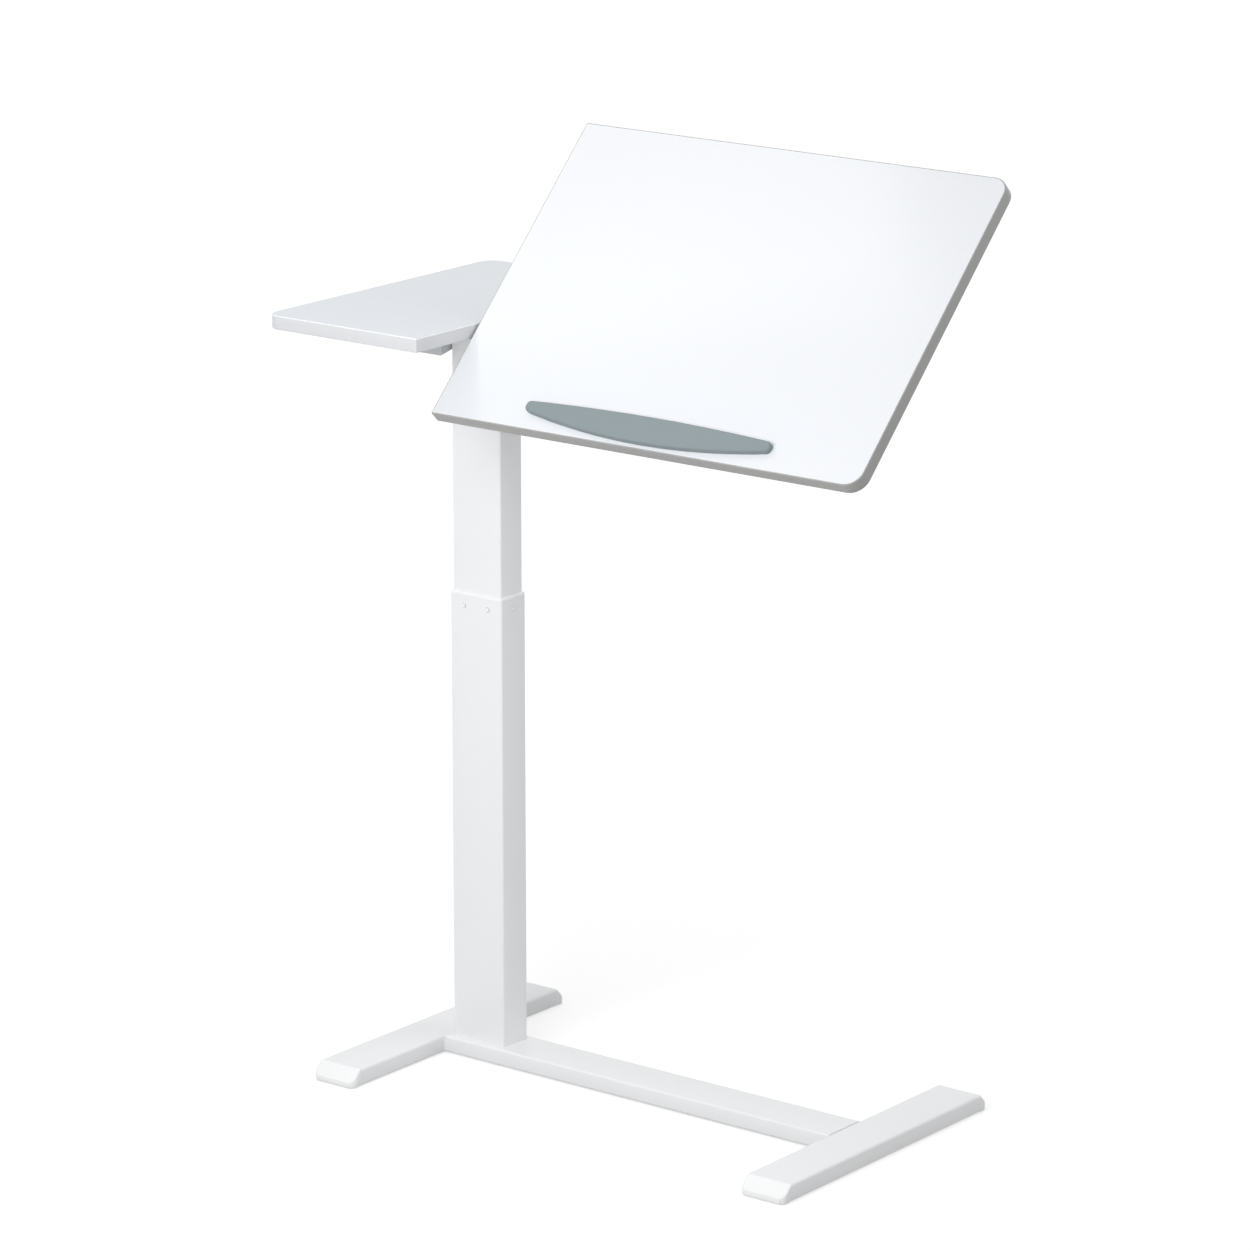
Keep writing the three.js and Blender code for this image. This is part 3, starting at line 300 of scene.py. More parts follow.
def finishedPiece(name, mesh, slot, body, replaced=(), smoothTo=38):
    # a piece on a body, smooth but for edges that bend by more than an angle, in place of the frame's nodes
    mesh.shade_smooth()
    mesh.set_sharp_from_angle(angle=math.radians(smoothTo))
    mesh.materials.clear()
    mesh.materials.append(finishes[slot])
    piece = added(name, mesh)
    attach(piece, body)
    if replaced:
        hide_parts(*replaced)


def meshFrom(bm, name):
    mesh = bpy.data.meshes.new(name)
    bm.to_mesh(mesh)
    bm.free()
    return mesh


def evaluatedMesh(mesh, tree=None, sizes=None, bevel=None):
    # the mesh with a Geometry Nodes tree of these sizes and then a bevel applied, as a plain mesh
    helper = added("helper", mesh)
    if tree:
        modifier = helper.modifiers.new("tree", "NODES")
        modifier.node_group = tree
        for item in tree.interface.items_tree:
            if item.item_type == "SOCKET" and item.in_out == "INPUT" and item.name in sizes:
                modifier[item.identifier] = sizes[item.name]
    if bevel:
        modifier = helper.modifiers.new("bevel", "BEVEL")
        for key, value in bevel.items():
            setattr(modifier, key, value)
    bpy.context.view_layer.update()
    graph = bpy.context.evaluated_depsgraph_get()
    plain = bpy.data.meshes.new_from_object(helper.evaluated_get(graph))
    bpy.data.objects.remove(helper)
    return plain


def rounding(width, segments=2, limit=50):
    # a bevel of a width in mm on the edges that bend by more than the limit in degrees
    settings = {"width": width * mm, "segments": segments}
    return {**settings, "limit_method": "ANGLE", "angle_limit": math.radians(limit)}


def softenedNode(node, width):
    # a copy of a node's mesh, merged and with its edges rounded
    bm = bmesh.new()
    bm.from_mesh(nodes[node].data)
    bmesh.ops.remove_doubles(bm, verts=bm.verts, dist=2e-6)
    bmesh.ops.dissolve_limit(bm, angle_limit=math.radians(1), verts=bm.verts, edges=bm.edges)
    bevel = {**rounding(width, limit=42), "miter_outer": "MITER_ARC"}
    mesh = evaluatedMesh(meshFrom(bm, node), bevel=bevel)
    finishedPiece(node + ".soft", mesh, slotOf[node], bodyOf[node], [node])


def offsetOutline(points, inset):
    # a closed counter-clockwise outline moved inwards
    count = len(points)
    moved = []
    for index, point in enumerate(points):
        before = (point - points[index - 1]).normalized()
        after = (points[(index + 1) % count] - point).normalized()
        normal = Vector((-(before.y + after.y), before.x + after.x)).normalized()
        lean = max(normal.dot(Vector((-after.y, after.x))), 0.3)
        moved.append(point + normal * inset / lean)
    return moved


def arc(x, y, radius, start, end, steps):
    angles = [math.radians(start + (end - start) * step / steps) for step in range(steps + 1)]
    return [Vector((x + radius * math.cos(a), y + radius * math.sin(a))) for a in angles]


def circle(radius, count=48):
    return arc(0, 0, radius, 0, 360 - 360 / count, count - 1)


def quarterTurn(steps):
    return [math.pi / 2 * step / steps for step in range(steps + 1)]


def lofted(rings, joined=False):
    # a closed skin over rings of points in mm; joined, the last ring meets the first
    bm = bmesh.new()
    loops = [[bm.verts.new(Vector(point) * mm) for point in ring] for ring in rings]
    following = loops[1:] + loops[:1] if joined else loops[1:]
    for lower, upper in zip(loops, following):
        for index in range(len(lower)):
            after = (index + 1) % len(lower)
            bm.faces.new((lower[index], lower[after], upper[after], upper[index]))
    if not joined:
        bm.faces.new(list(reversed(loops[0])))
        bm.faces.new(loops[-1])
    bmesh.ops.remove_doubles(bm, verts=bm.verts, dist=1e-7)
    bmesh.ops.recalc_face_normals(bm, faces=bm.faces)
    return bm


def edgeProfile(bottom, top, bottomRadius, topRadius, segments=4):
    # inset and height of each ring up the side of a plate with rounded lower and upper edges
    angles = quarterTurn(segments)
    lower = [(bottomRadius * (1 - math.sin(a)), bottom + bottomRadius * (1 - math.cos(a))) for a in angles]
    upper = [(topRadius * (1 - math.cos(a)), top - topRadius * (1 - math.sin(a))) for a in angles]
    return lower + upper


def ringsOf(outline, profile):
    return [[(*point, height) for point in offsetOutline(outline, inset)] for inset, height in profile]


def roundedPlate(outline, bottom, top, bottomRadius, topRadius, segments=4):
    return lofted(ringsOf(outline, edgeProfile(bottom, top, bottomRadius, topRadius, segments)))


def roundedRectangle(x, y, width, depth, radius, steps=6):
    dx, dy = width / 2 - radius, depth / 2 - radius
    points = []
    for cx, cy, turn in ((dx, dy, 0), (-dx, dy, 90), (-dx, -dy, 180), (dx, -dy, 270)):
        points += arc(x + cx, y + cy, radius, turn, turn + 90, steps)
    return points


def joinedMesh(name, parts):
    whole = bmesh.new()
    for part in parts:
        mesh = meshFrom(part, name)
        whole.from_mesh(mesh)
        bpy.data.meshes.remove(mesh)
    return meshFrom(whole, name)


# Geometry Nodes
class Nodes(Wiring):
    def __init__(self, name, sizes):
        super().__init__(bpy.data.node_groups.new(name, "GeometryNodeTree"))
        interface = self.tree.interface
        for way in ("INPUT", "OUTPUT"):
            interface.new_socket("Geometry", in_out=way, socket_type="NodeSocketGeometry")
        for key, value in sizes.items():
            kind = "NodeSocketInt" if isinstance(value, int) else "NodeSocketFloat"
            interface.new_socket(key, in_out="INPUT", socket_type=kind).default_value = value
        self.group = self.tree.nodes.new("NodeGroupInput")
        self.result = self.tree.nodes.new("NodeGroupOutput")

    def size(self, name):
        return Wire(self, self.group.outputs[name])

    def vector(self, x, y, z):
        return self.node("ShaderNodeCombineXYZ", {}, {0: x, 1: y, 2: z})

    def moved(self, geometry, height):
        lift = self.vector(0.0, 0.0, height)
        return self.node("GeometryNodeTransform", {}, {"Geometry": geometry, "Translation": lift})

    def cylinder(self, count, radius, depth):
        inputs = {"Vertices": count, "Radius": radius, "Depth": depth}
        return self.node("GeometryNodeMeshCylinder", {"fill_type": "NGON"}, inputs)

    def boolean(self, operation, **meshes):
        inputs = {key.replace("_", " "): value for key, value in meshes.items()}
        return self.node("GeometryNodeMeshBoolean", {"operation": operation, "solver": "EXACT"}, inputs)

    def attribute(self, name, kind):
        return self.node("GeometryNodeInputNamedAttribute", {"data_type": kind}, {"Name": name})

    def zAlong(self, vector):
        # the rotation that turns Z onto a vector
        return self.node("FunctionNodeAlignRotationToVector", {"axis": "Z"}, {"Vector": vector})

    def facingOut(self):
        return self.zAlong(self.attribute("outward", "FLOAT_VECTOR"))

    def random(self, least, most):
        inputs = {2: least, 3: most, "Seed": self.size("Seed")}
        return self.node("FunctionNodeRandomValue", {"data_type": "FLOAT"}, inputs, 1)

    def onPoints(self, shape, **inputs):
        # the shape on each point of the base mesh, or on the points given
        inputs = {"Points": self.size("Geometry"), "Instance": shape, **inputs}
        return self.node("GeometryNodeInstanceOnPoints", {}, inputs)

    def finish(self, geometry, material):
        real = self.node("GeometryNodeRealizeInstances", {}, {0: geometry})
        painted = self.node("GeometryNodeSetMaterial", {}, {"Geometry": real, "Material": material})
        self.feed(self.result.inputs[0], painted)
        return self.tree


def rectangleCurve(tree, width, height, radius, count):
    flat = tree.node("GeometryNodeCurvePrimitiveQuadrilateral", {}, {"Width": width, "Height": height})
    inputs = {"Curve": flat, "Count": count, "Radius": radius}
    return tree.node("GeometryNodeFilletCurve", {"mode": "POLY"}, inputs)


def tubeTree(material):
    # rounded rectangular tube along Z, with a round hole at each point of the base mesh
    tube = Nodes("roundedTube", {
        "Width": 0.06, "Depth": 0.02, "Wall": 0.0015, "Corner": 0.003, "Least Corner": 0.0004,
        "Corner Steps": 5, "Length": 0.3, "Hole Depth": 0.01, "Hole Sides": 24})
    width, depth, corner = tube.size("Width"), tube.size("Depth"), tube.size("Corner")
    wall, steps = tube.size("Wall"), tube.size("Corner Steps")
    outer = rectangleCurve(tube, width, depth, corner, steps)
    twoWalls = wall * 2
    innerCorner = (corner - wall).atLeast(tube.size("Least Corner"))
    inner = rectangleCurve(tube, width - twoWalls, depth - twoWalls, innerCorner, steps)
    both = tube.node("GeometryNodeJoinGeometry", {}, {0: [outer, inner]})
    ring = tube.node("GeometryNodeFillCurve", {"mode": "TRIANGLES"}, {"Curve": both})
    raised = tube.node("GeometryNodeExtrudeMesh", {"mode": "FACES"}, {
        "Mesh": ring, "Offset": (0, 0, 1), "Offset Scale": tube.size("Length"), "Individual": False})
    base = tube.node("GeometryNodeFlipFaces", {}, {"Mesh": ring})
    shell = tube.node("GeometryNodeJoinGeometry", {}, {0: [raised, base]})
    shell = tube.node("GeometryNodeMergeByDistance", {}, {"Geometry": shell, "Distance": 1e-6})
    hole = tube.cylinder(tube.size("Hole Sides"), 1.0, tube.size("Hole Depth"))
    radius = tube.attribute("holeRadius", "FLOAT")
    holes = tube.onPoints(hole, Rotation=tube.facingOut(), Scale=tube.vector(radius, radius, 1.0))
    holes = tube.node("GeometryNodeRealizeInstances", {}, {0: holes})
    return tube.finish(tube.boolean("DIFFERENCE", Mesh_1=shell, Mesh_2=holes), material)


whiteTube = tubeTree(finishes["white_paint"])

# local Z of a tube is turned onto the axis that it runs along
tubeTurns = {
    "x": Matrix(((0, 0, 1), (1, 0, 0), (0, 1, 0))),
    "y": Matrix(((-1, 0, 0), (0, 0, 1), (0, 1, 0))),
    "z": Matrix(((0, -1, 0), (1, 0, 0), (0, 0, 1))),
}


def pointMesh(name, points, **values):
    # loose points with one value or direction each, for a tree to put things on
    mesh = bpy.data.meshes.new(name)
    mesh.from_pydata([tuple(point) for point in points], [], [])
    for key, rows in values.items():
        isVector = hasattr(rows[0], "__len__") if rows else False
        kind, field = ("FLOAT_VECTOR", "vector") if isVector else ("FLOAT", "value")
        data = mesh.attributes.new(key, kind, "POINT").data
        for index, row in enumerate(rows):
            setattr(data[index], field, row)
    return mesh


def tubePiece(node, run, size, holes, holeDepth, rise):
    # size is width, depth, wall and corner in mm; a hole is its middle in metres, direction and radius in mm
    low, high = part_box(node)
    axis = "xyz".index(run)
    high[axis] += rise * mm
    start = (low + high) / 2
    start[axis] = low[axis]
    place = Matrix.Translation(start) @ tubeTurns[run].to_4x4()
    back = place.inverted()
    points = pointMesh(
        node, [back @ Vector(middle) for middle, direction, radius in holes],
        outward=[tuple(back.to_3x3() @ Vector(direction)) for middle, direction, radius in holes],
        holeRadius=[radius * mm for middle, direction, radius in holes])
    width, depth, wall, corner = (value * mm for value in size)
    sizes = {"Width": width, "Depth": depth, "Wall": wall, "Corner": corner,
             "Length": high[axis] - low[axis], "Hole Depth": holeDepth * mm}
    mesh = evaluatedMesh(points, whiteTube, sizes)
    mesh.transform(place)
    finishedPiece(node + ".tube", mesh, "white_paint", bodyOf[node], [node])


def middleOf(node):
    low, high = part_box(node)
    return (low + high) / 2


# Tubes: the feet and crossbar, the column and the frame under the main top
tubeSizes = {
    "left_foot": ("y", (60, 20, 1.5, 3)), "right_foot": ("y", (60, 20, 1.5, 3)),
    "crossbar": ("x", (60, 20, 1.5, 3)), "spine": ("x", (40, 30, 1.5, 2)),
    "hinge_rail": ("x", (25, 20, 1.5, 2)), "rear_rail": ("x", (25, 20, 1.5, 2)),
    "left_arm": ("y", (25, 20, 1.5, 2)), "right_arm": ("y", (25, 20, 1.5, 2)),
    "outer_tube": ("z", (45, 75, 1.2, 3)), "inner_tube": ("z", (40, 70, 1.5, 2.5)),
}
tubeHoleRadii = {"screw": 5.5, "columnBolt": 8, "shaft": 4.3}
# the release shaft goes through both walls, all else through one
tubeHoleDepths = {"inner_tube": 80}
oneWall = 4
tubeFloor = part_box("crossbar")[0].z


def holesUnder(kind, *names):
    places = [(middleOf(name).x, middleOf(name).y, tubeFloor) for name in names]
    return [(place, (0, 0, 1), tubeHoleRadii[kind]) for place in places]


shaftMiddle = middleOf("release_shaft")
columnMiddle = middleOf("inner_tube")

# Column guide: a rim with a rounded edge on the tube's mouth, a sleeve in it and studs in its holes
guide = {
    "width": 75, "depth": 45, "corner": 3, "top": 561, "rimHeight": 4.5, "rimEdge": 1.9, "rimSteps": 8,
    "groove": 0.3, "boreWidth": 70.3, "boreDepth": 40.3, "boreCorner": 2.65, "boreFlare": 0.25,
    "sleeveInset": 1.35, "sleeveLength": 40, "studRadius": 2.5, "studProud": 0.6, "studLength": 1.8,
    "studDrop": 16, "studSpacing": 35, "studEdge": 0.35, "holeRadius": 3.05,
}


def studPlaces(proud):
    # where each stud's outer face is, in metres, and the way that it faces
    x, half = columnMiddle.x / mm, guide["studSpacing"] / 2
    level = guide["top"] - guide["studDrop"]
    acrossY, acrossX, ways = guide["depth"] / 2 + proud, guide["width"] / 2 + proud, (-1, 1)
    places = [((x + side * half, face * acrossY, level), (0, face, 0)) for face in ways for side in ways]
    places += [((x + face * acrossX, 0, level), (face, 0, 0)) for face in ways]
    return [(Vector(point) * mm, direction) for point, direction in places]


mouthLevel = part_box("outer_tube")[1].z / mm
tubeHoles = {
    "right_foot": holesUnder("screw", "foot_screw_front", "foot_screw_back"),
    "crossbar": holesUnder("screw", "bar_screw_front", "bar_screw_back")
    + holesUnder("columnBolt", "column_bolt_left", "column_bolt_right"),
    "inner_tube": [((columnMiddle.x, shaftMiddle.y, shaftMiddle.z), (1, 0, 0), tubeHoleRadii["shaft"])],
    "outer_tube": [(point, direction, guide["holeRadius"]) for point, direction in studPlaces(0)],
}
for tubeName, (tubeRun, tubeSize) in tubeSizes.items():
    tubeRise = guide["top"] - guide["rimHeight"] - mouthLevel if tubeName == "outer_tube" else 0
    holeDepth = tubeHoleDepths.get(tubeName, oneWall)
    tubePiece(tubeName, tubeRun, tubeSize, tubeHoles.get(tubeName, ()), holeDepth, tubeRise)
print("tubes made")


# Boards: the laminate faces are the frame's own, and the bands get rounded edges and close the glue line
boards = {
    "length": 800, "depth": 400, "top": 897, "bottom": 881, "sideLength": 221, "gap": 2, "cornerRadius": 20,
    "squareRadius": 0.8, "cornerSteps": 10, "bandWidth": 1.32, "edgeRadius": 1.1,
    "tilt": 45.6, "pivot": (-86, 879.35),
}
pivot = Matrix.Translation((0, boards["pivot"][0] * mm, boards["pivot"][1] * mm))
tilted = pivot @ Matrix.Rotation(math.radians(boards["tilt"]), 4, "X") @ pivot.inverted()


def boardOutline(start, end, roundEnd):
    # counter-clockwise, rounded at the outer end and nearly square at the gap
    half = boards["depth"] / 2
    radii = {roundEnd: boards["cornerRadius"], -roundEnd: boards["squareRadius"]}
    points = []
    for side, way, turn in ((-1, -1, 180), (1, -1, 270), (1, 1, 0), (-1, 1, 90)):
        radius = radii[side]
        x = start + radius if side < 0 else end - radius
        points += arc(x, way * (half - radius), radius, turn, turn + 90, boards["cornerSteps"])
    return points


def boardBand(name, start, end, roundEnd, slot, place=Matrix()):
    low, high = boards["bottom"], boards["top"]
    radius, width = boards["edgeRadius"], boards["bandWidth"]
    profile = [(width, low), *edgeProfile(low, high, radius, radius), (width, high)]
    mesh = meshFrom(lofted(ringsOf(boardOutline(start, end, roundEnd), profile), True), "band")
    mesh.transform(place)
    finishedPiece(name + ".band", mesh, slot, bodyOf[name], [name])


boardLeft = -boards["length"] / 2
sideEnd = boardLeft + boards["sideLength"]
mainStart = sideEnd + boards["gap"]
boardBand("side_top_edge", boardLeft, sideEnd, -1, "white_edge")
boardBand("main_top_edge", mainStart, -boardLeft, 1, "grey_edge", tilted)
print("boards made")


# Book stop: both long sides bow outwards, the front more, with rounded ends and a soft upper edge
bookStop = {
    "length": 330, "depth": 33, "inset": 5, "bow": 16.5, "backBow": 5, "thickness": 7.5, "corner": 5,
    "edge": 2.2, "lowerEdge": 0.2, "edgeSteps": 6, "cornerSteps": 9, "frontSteps": 72, "backSteps": 48,
}


def bowedSide(bow):
    # radius of a bowed long side, and how far and through what angle it reaches to the corners' middles
    half, corner = bookStop["length"] / 2, bookStop["corner"]
    radius = (half ** 2 + bow ** 2) / (2 * bow)
    span = math.sqrt((radius - corner) ** 2 - (half - corner) ** 2)
    return radius, span, math.degrees(math.atan2(half - corner, span))


def bookStopOutline():
    corner, steps = bookStop["corner"], bookStop["cornerSteps"]
    cornerX = bookStop["length"] / 2 - corner
    frontRadius, frontSpan, frontSweep = bowedSide(bookStop["bow"])
    backRadius, backSpan, backSweep = bowedSide(bookStop["backBow"])
    backMiddle = bookStop["depth"] - backRadius
    rightEnd = [*arc(cornerX, frontRadius - frontSpan, corner, frontSweep - 90, 0, steps),
                *arc(cornerX, backMiddle + backSpan, corner, 0, 90 - backSweep, steps)]
    leftEnd = [Vector((-point.x, point.y)) for point in reversed(rightEnd)]
    frontSide = arc(0, frontRadius, frontRadius, -90 - frontSweep, -90 + frontSweep, bookStop["frontSteps"])
    backSide = arc(0, backMiddle, backRadius, 90 - backSweep, 90 + backSweep, bookStop["backSteps"])
    return [*frontSide[1:-1], *rightEnd, *backSide[1:-1], *leftEnd]


def bookStopPiece():
    middle = (mainStart - boardLeft) / 2
    front = bookStop["inset"] - boards["depth"] / 2
    outline = [point + Vector((middle, front)) for point in bookStopOutline()]
    low, high = boards["top"], boards["top"] + bookStop["thickness"]
    plate = roundedPlate(outline, low, high, bookStop["lowerEdge"], bookStop["edge"], bookStop["edgeSteps"])
    mesh = meshFrom(plate, "bookStop")
    mesh.transform(tilted)
    finishedPiece("book_stop.soft", mesh, "grey_plastic", "tilting_top", ["book_stop"])


bookStopPiece()
print("book stop made")


# Moulded and pressed pieces: the frame's own shapes with their edges rounded, by radii in mm
edgeRadii = {
    "release_lever": 0.3, "head_plate": 0.6, "stay_bracket": 0.5, "stay_quadrant": 0.4,
    "left_bumper": 0.5, "right_bumper": 0.5, "left_hinge_fixed_leaf": 0.2, "right_hinge_fixed_leaf": 0.2,
    "left_hinge_moving_leaf": 0.2, "right_hinge_moving_leaf": 0.2, "clamp_washer": 0.25,
}
for softName, softRadius in edgeRadii.items():
    softenedNode(softName, softRadius)
print("edges rounded")


# End caps: a sloping nose with a low blunt lip, a plug in the tube and a pad on the floor
footCap = {
    "width": 60, "height": 20, "length": 16, "slopeStart": 2, "bend": 1, "bendSteps": 3, "slopeStation": 4.5,
    "planCorner": 9, "planSteps": 8, "tubeCorner": 3, "topCorner": 2.6, "lowCorner": 1.2, "cornerSteps": 6,
    "tipEdge": 0.9, "tipSteps": 4, "groove": 0.35,
    "plugDepth": 22, "plugInset": 1.7, "plugTaper": 0.8, "plugTaperLength": 1, "plugOverlap": 1,
    "padInset": 7, "padStart": 1.5, "padCorner": 2, "padHeight": 1.2, "padEdge": 0.3, "padOverlap": 0.4,
}


def blended(start, end, share):
    share = min(max(share, 0), 1)
    return start + (end - start) * share


def capRing(station, inset=0.0):
    # section of the nose at a distance from the tube's end: across and up, in mm
    half, planCorner = footCap["width"] / 2, footCap["planCorner"]
    past = station - (footCap["length"] - planCorner)
    if past > 0:
        half -= planCorner - math.sqrt(max(planCorner ** 2 - past ** 2, 0))
    bottom = footCap["padHeight"]
    start, bend = footCap["slopeStart"], footCap["bend"]
    drop = max(station - start, 0)
    if abs(station - start) < bend:
        drop = (station - start + bend) ** 2 / (4 * bend)
    top = bottom + footCap["height"] - drop - inset
    half, bottom = half - inset, bottom + inset
    share = station / planCorner
    upper = blended(footCap["tubeCorner"], footCap["topCorner"], share) - inset
    lower = blended(footCap["tubeCorner"], footCap["lowCorner"], share) - inset
    points = []
    for side, z, radius, turn in ((1, top, upper, 0), (-1, top, upper, 90),
                                  (-1, bottom, lower, 180), (1, bottom, lower, 270)):
        middleZ = z - radius if turn < 180 else z + radius
        points += arc(side * (half - radius), middleZ, radius, turn, turn + 90, footCap["cornerSteps"])
    return points


def capStations():
    # where the nose's sections stand and how far they are drawn in, and where its rounded tip starts
    length, corner, edge = footCap["length"], footCap["planCorner"], footCap["tipEdge"]
    flank = length - corner
    stations = [(0, footCap["groove"]), (footCap["groove"], 0)]
    start, bend, steps = footCap["slopeStart"], footCap["bend"], footCap["bendSteps"]
    stations += [(start + bend * step / steps, 0) for step in range(-steps, steps + 1)]
    stations += [(footCap["slopeStation"], 0), (flank, 0)]
    last, steps = math.asin((corner - edge) / corner), footCap["planSteps"]
    stations += [(flank + corner * math.sin(last * step / steps), 0) for step in range(1, steps + 1)]
    return stations, length - edge


def footCapParts(middleX, end, way):
    # end is the y of the tube's end and way the direction that the nose points in
    def placed(ring, station):
        return [(middleX + point.x, end + way * station, point.y) for point in ring]

    stations, tip = capStations()
    rings = [placed(capRing(station, inset), station) for station, inset in stations]
    edge = footCap["tipEdge"]
    for angle in quarterTurn(footCap["tipSteps"])[1:]:
        rings.append(placed(capRing(tip, edge * (1 - math.cos(angle))), tip + edge * math.sin(angle)))
    inset, inner = footCap["plugInset"], -footCap["plugDepth"]
    plug = [
        placed(capRing(0, inset + footCap["plugTaper"]), inner),
        placed(capRing(0, inset), inner + footCap["plugTaperLength"]),
        placed(capRing(0, inset), footCap["plugOverlap"]),
    ]
    padStart, padEnd = footCap["padStart"], footCap["length"] - footCap["padInset"]
    padWidth, padY = footCap["width"] - 2 * footCap["padInset"], end + way * (padStart + padEnd) / 2
    padOutline = roundedRectangle(middleX, padY, padWidth, padEnd - padStart, footCap["padCorner"])
    pad = roundedPlate(padOutline, 0, footCap["padHeight"] + footCap["padOverlap"], footCap["padEdge"], 0)
    return [lofted(rings), lofted(plug), pad]


def footCaps():
    parts, names = [], []
    for side in ("left", "right"):
        low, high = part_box(side + "_foot")
        middleX = (low.x + high.x) / 2 / mm
        parts += footCapParts(middleX, low.y / mm, -1) + footCapParts(middleX, high.y / mm, 1)
        names += [side + "_foot_front_cap", side + "_foot_back_cap"]
    finishedPiece("footCaps", joinedMesh("footCaps", parts), "white_plastic", "base", names, 30)


footCaps()


def guideRing(size, inset, height):
    # a rounded rectangle round the column's middle, drawn in by the inset
    width, depth, corner = size
    outline = roundedRectangle(columnMiddle.x / mm, 0, width - 2 * inset, depth - 2 * inset, corner - inset)
    return [(*point, height) for point in outline]


def columnGuide():
    outside = (guide["width"], guide["depth"], guide["corner"])
    bore = (guide["boreWidth"], guide["boreDepth"], guide["boreCorner"])
    top, edge, flare = guide["top"], guide["rimEdge"], guide["boreFlare"]
    low = top - guide["rimHeight"]
    shoulder, foot = low + guide["groove"], low - guide["sleeveLength"]
    rings = [guideRing(outside, guide["groove"], low)]
    for angle in quarterTurn(guide["rimSteps"]):
        inset, height = edge * (1 - math.cos(angle)), shoulder + (top - shoulder) * math.sin(angle)
        rings.append(guideRing(outside, inset, height))
    for inset, height in ((-flare, top), (0, top - flare), (0, foot)):
        rings.append(guideRing(bore, inset, height))
    rings += [guideRing(outside, guide["sleeveInset"], height) for height in (foot, low)]
    mesh = meshFrom(lofted(rings, True), "columnGuide")
    finishedPiece("columnGuide", mesh, "white_plastic", "base", ["upper_guide"], 40)


columnGuide()
print("caps and guide made")


# Guide studs: a short round pin on each point, its outer face at the point
def studTree(material):
    stud = Nodes("guideStuds", {"Stud Radius": 0.0025, "Stud Length": 0.0016, "Stud Sides": 32})
    length = stud.size("Stud Length")
    pin = stud.cylinder(stud.size("Stud Sides"), stud.size("Stud Radius"), length)
    return stud.finish(stud.onPoints(stud.moved(pin, length * -0.5), Rotation=stud.facingOut()), material)


def guideStuds():
    places = studPlaces(guide["studProud"])
    points = pointMesh("guideStuds", [point for point, way in places], outward=[way for point, way in places])
    sizes = {"Stud Radius": guide["studRadius"] * mm, "Stud Length": guide["studLength"] * mm}
    mesh = evaluatedMesh(points, studTree(finishes["white_plastic"]), sizes, rounding(guide["studEdge"], 4))
    finishedPiece("guideStuds", mesh, "white_plastic", "base")


guideStuds()


# Screws: a head with a cross or hexagon recess on each point, turned to its direction
def headTree(material):
    head = Nodes("screwHeads", {
        "Head Radius": 0.004, "Head Height": 0.002, "Head Sides": 32, "Recess Size": 0.003,
        "Recess Depth": 0.001, "Recess Sides": 6, "Blade Share": 0.3, "Cross": 0, "Seed": 3})
    height, size = head.size("Head Height"), head.size("Recess Size")
    disc = head.cylinder(head.size("Head Sides"), head.size("Head Radius"), height)
    depth, blade = head.size("Recess Depth") * 2, size * head.size("Blade Share")
    blades = [
        head.node("GeometryNodeMeshCube", {}, {"Size": head.vector(size, blade, depth)}),
        head.node("GeometryNodeMeshCube", {}, {"Size": head.vector(blade, size, depth)}),
    ]
    recess = head.node("GeometryNodeSwitch", {"input_type": "GEOMETRY"}, {
        "Switch": head.size("Cross"), "True": head.boolean("UNION", Mesh_2=blades),
        "False": head.cylinder(head.size("Recess Sides"), size * 0.5, depth)})
    solid = head.boolean("DIFFERENCE", Mesh_1=disc, Mesh_2=head.moved(recess, height * 0.5))
    spin = head.vector(0.0, 0.0, head.random(0.0, math.pi))
    turned = head.node("FunctionNodeRotateRotation", {"rotation_space": "LOCAL"}, {
        "Rotation": head.facingOut(),
        "Rotate By": head.node("FunctionNodeEulerToRotation", {}, {"Euler": spin})})
    return head.finish(head.onPoints(head.moved(solid, height * -0.5), Rotation=turned), material)


screwHeads = headTree(finishes["zinc_steel"])
# head radius and height, recess size and depth, 1 for a cross or 0 for a hexagon, and edge radius, in mm
screwSizes = {
    "base": (5.2, 1.9, 4.4, 1.2, 1, 0.25),
    "columnBolt": (6.5, 8, 6.8, 4, 0, 0.5),
    "plate": (4.5, 2.6, 4.2, 1.4, 1, 0.8),
    "stop": (4, 2, 3.8, 1.2, 1, 0.25),
    "hinge": (3.1, 0.8, 3.4, 0.7, 1, 0.12),
}
down = Vector((0, 0, -1))
mainUp = tilted.to_3x3() @ Vector((0, 0, 1))


def screwPiece(name, body, points, outward, kind, replaced=()):
    # points are the middles of the heads' outer faces, in metres
    radius, height, recess, depth, cross, edge = screwSizes[kind]
    sizes = {"Head Radius": radius * mm, "Head Height": height * mm, "Recess Size": recess * mm,
             "Recess Depth": depth * mm, "Cross": cross}
    mesh = pointMesh(name, points, outward=[tuple(outward)] * len(points))
    finishedPiece(name, evaluatedMesh(mesh, screwHeads, sizes, rounding(edge)), "zinc_steel", body, replaced)


def lowest(names):
    return [(middleOf(name).x, middleOf(name).y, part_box(name)[0].z) for name in names]


baseScrews = ["bar_screw_front", "bar_screw_back", "foot_screw_front", "foot_screw_back"]
columnBolts = ["column_bolt_left", "column_bolt_right"]
plateScrews = ["side_screw_front_left", "side_screw_front_right",
               "side_screw_back_left", "side_screw_back_right"]
screwPiece("baseScrewHeads", "base", lowest(baseScrews), down, "base", baseScrews)
screwPiece("columnBoltHeads", "base", lowest(columnBolts), down, "columnBolt", columnBolts)
screwPiece("plateScrewHeads", "lift", lowest(plateScrews), down, "plate", plateScrews)

# the screws of the main top lie square to its underside, those of the quadrant on its flange
stopScrews = ["stop_screw_left", "stop_screw_right"]
stayScrews = ["stay_screw_front", "stay_screw_back"]
stayDrop = 6.2


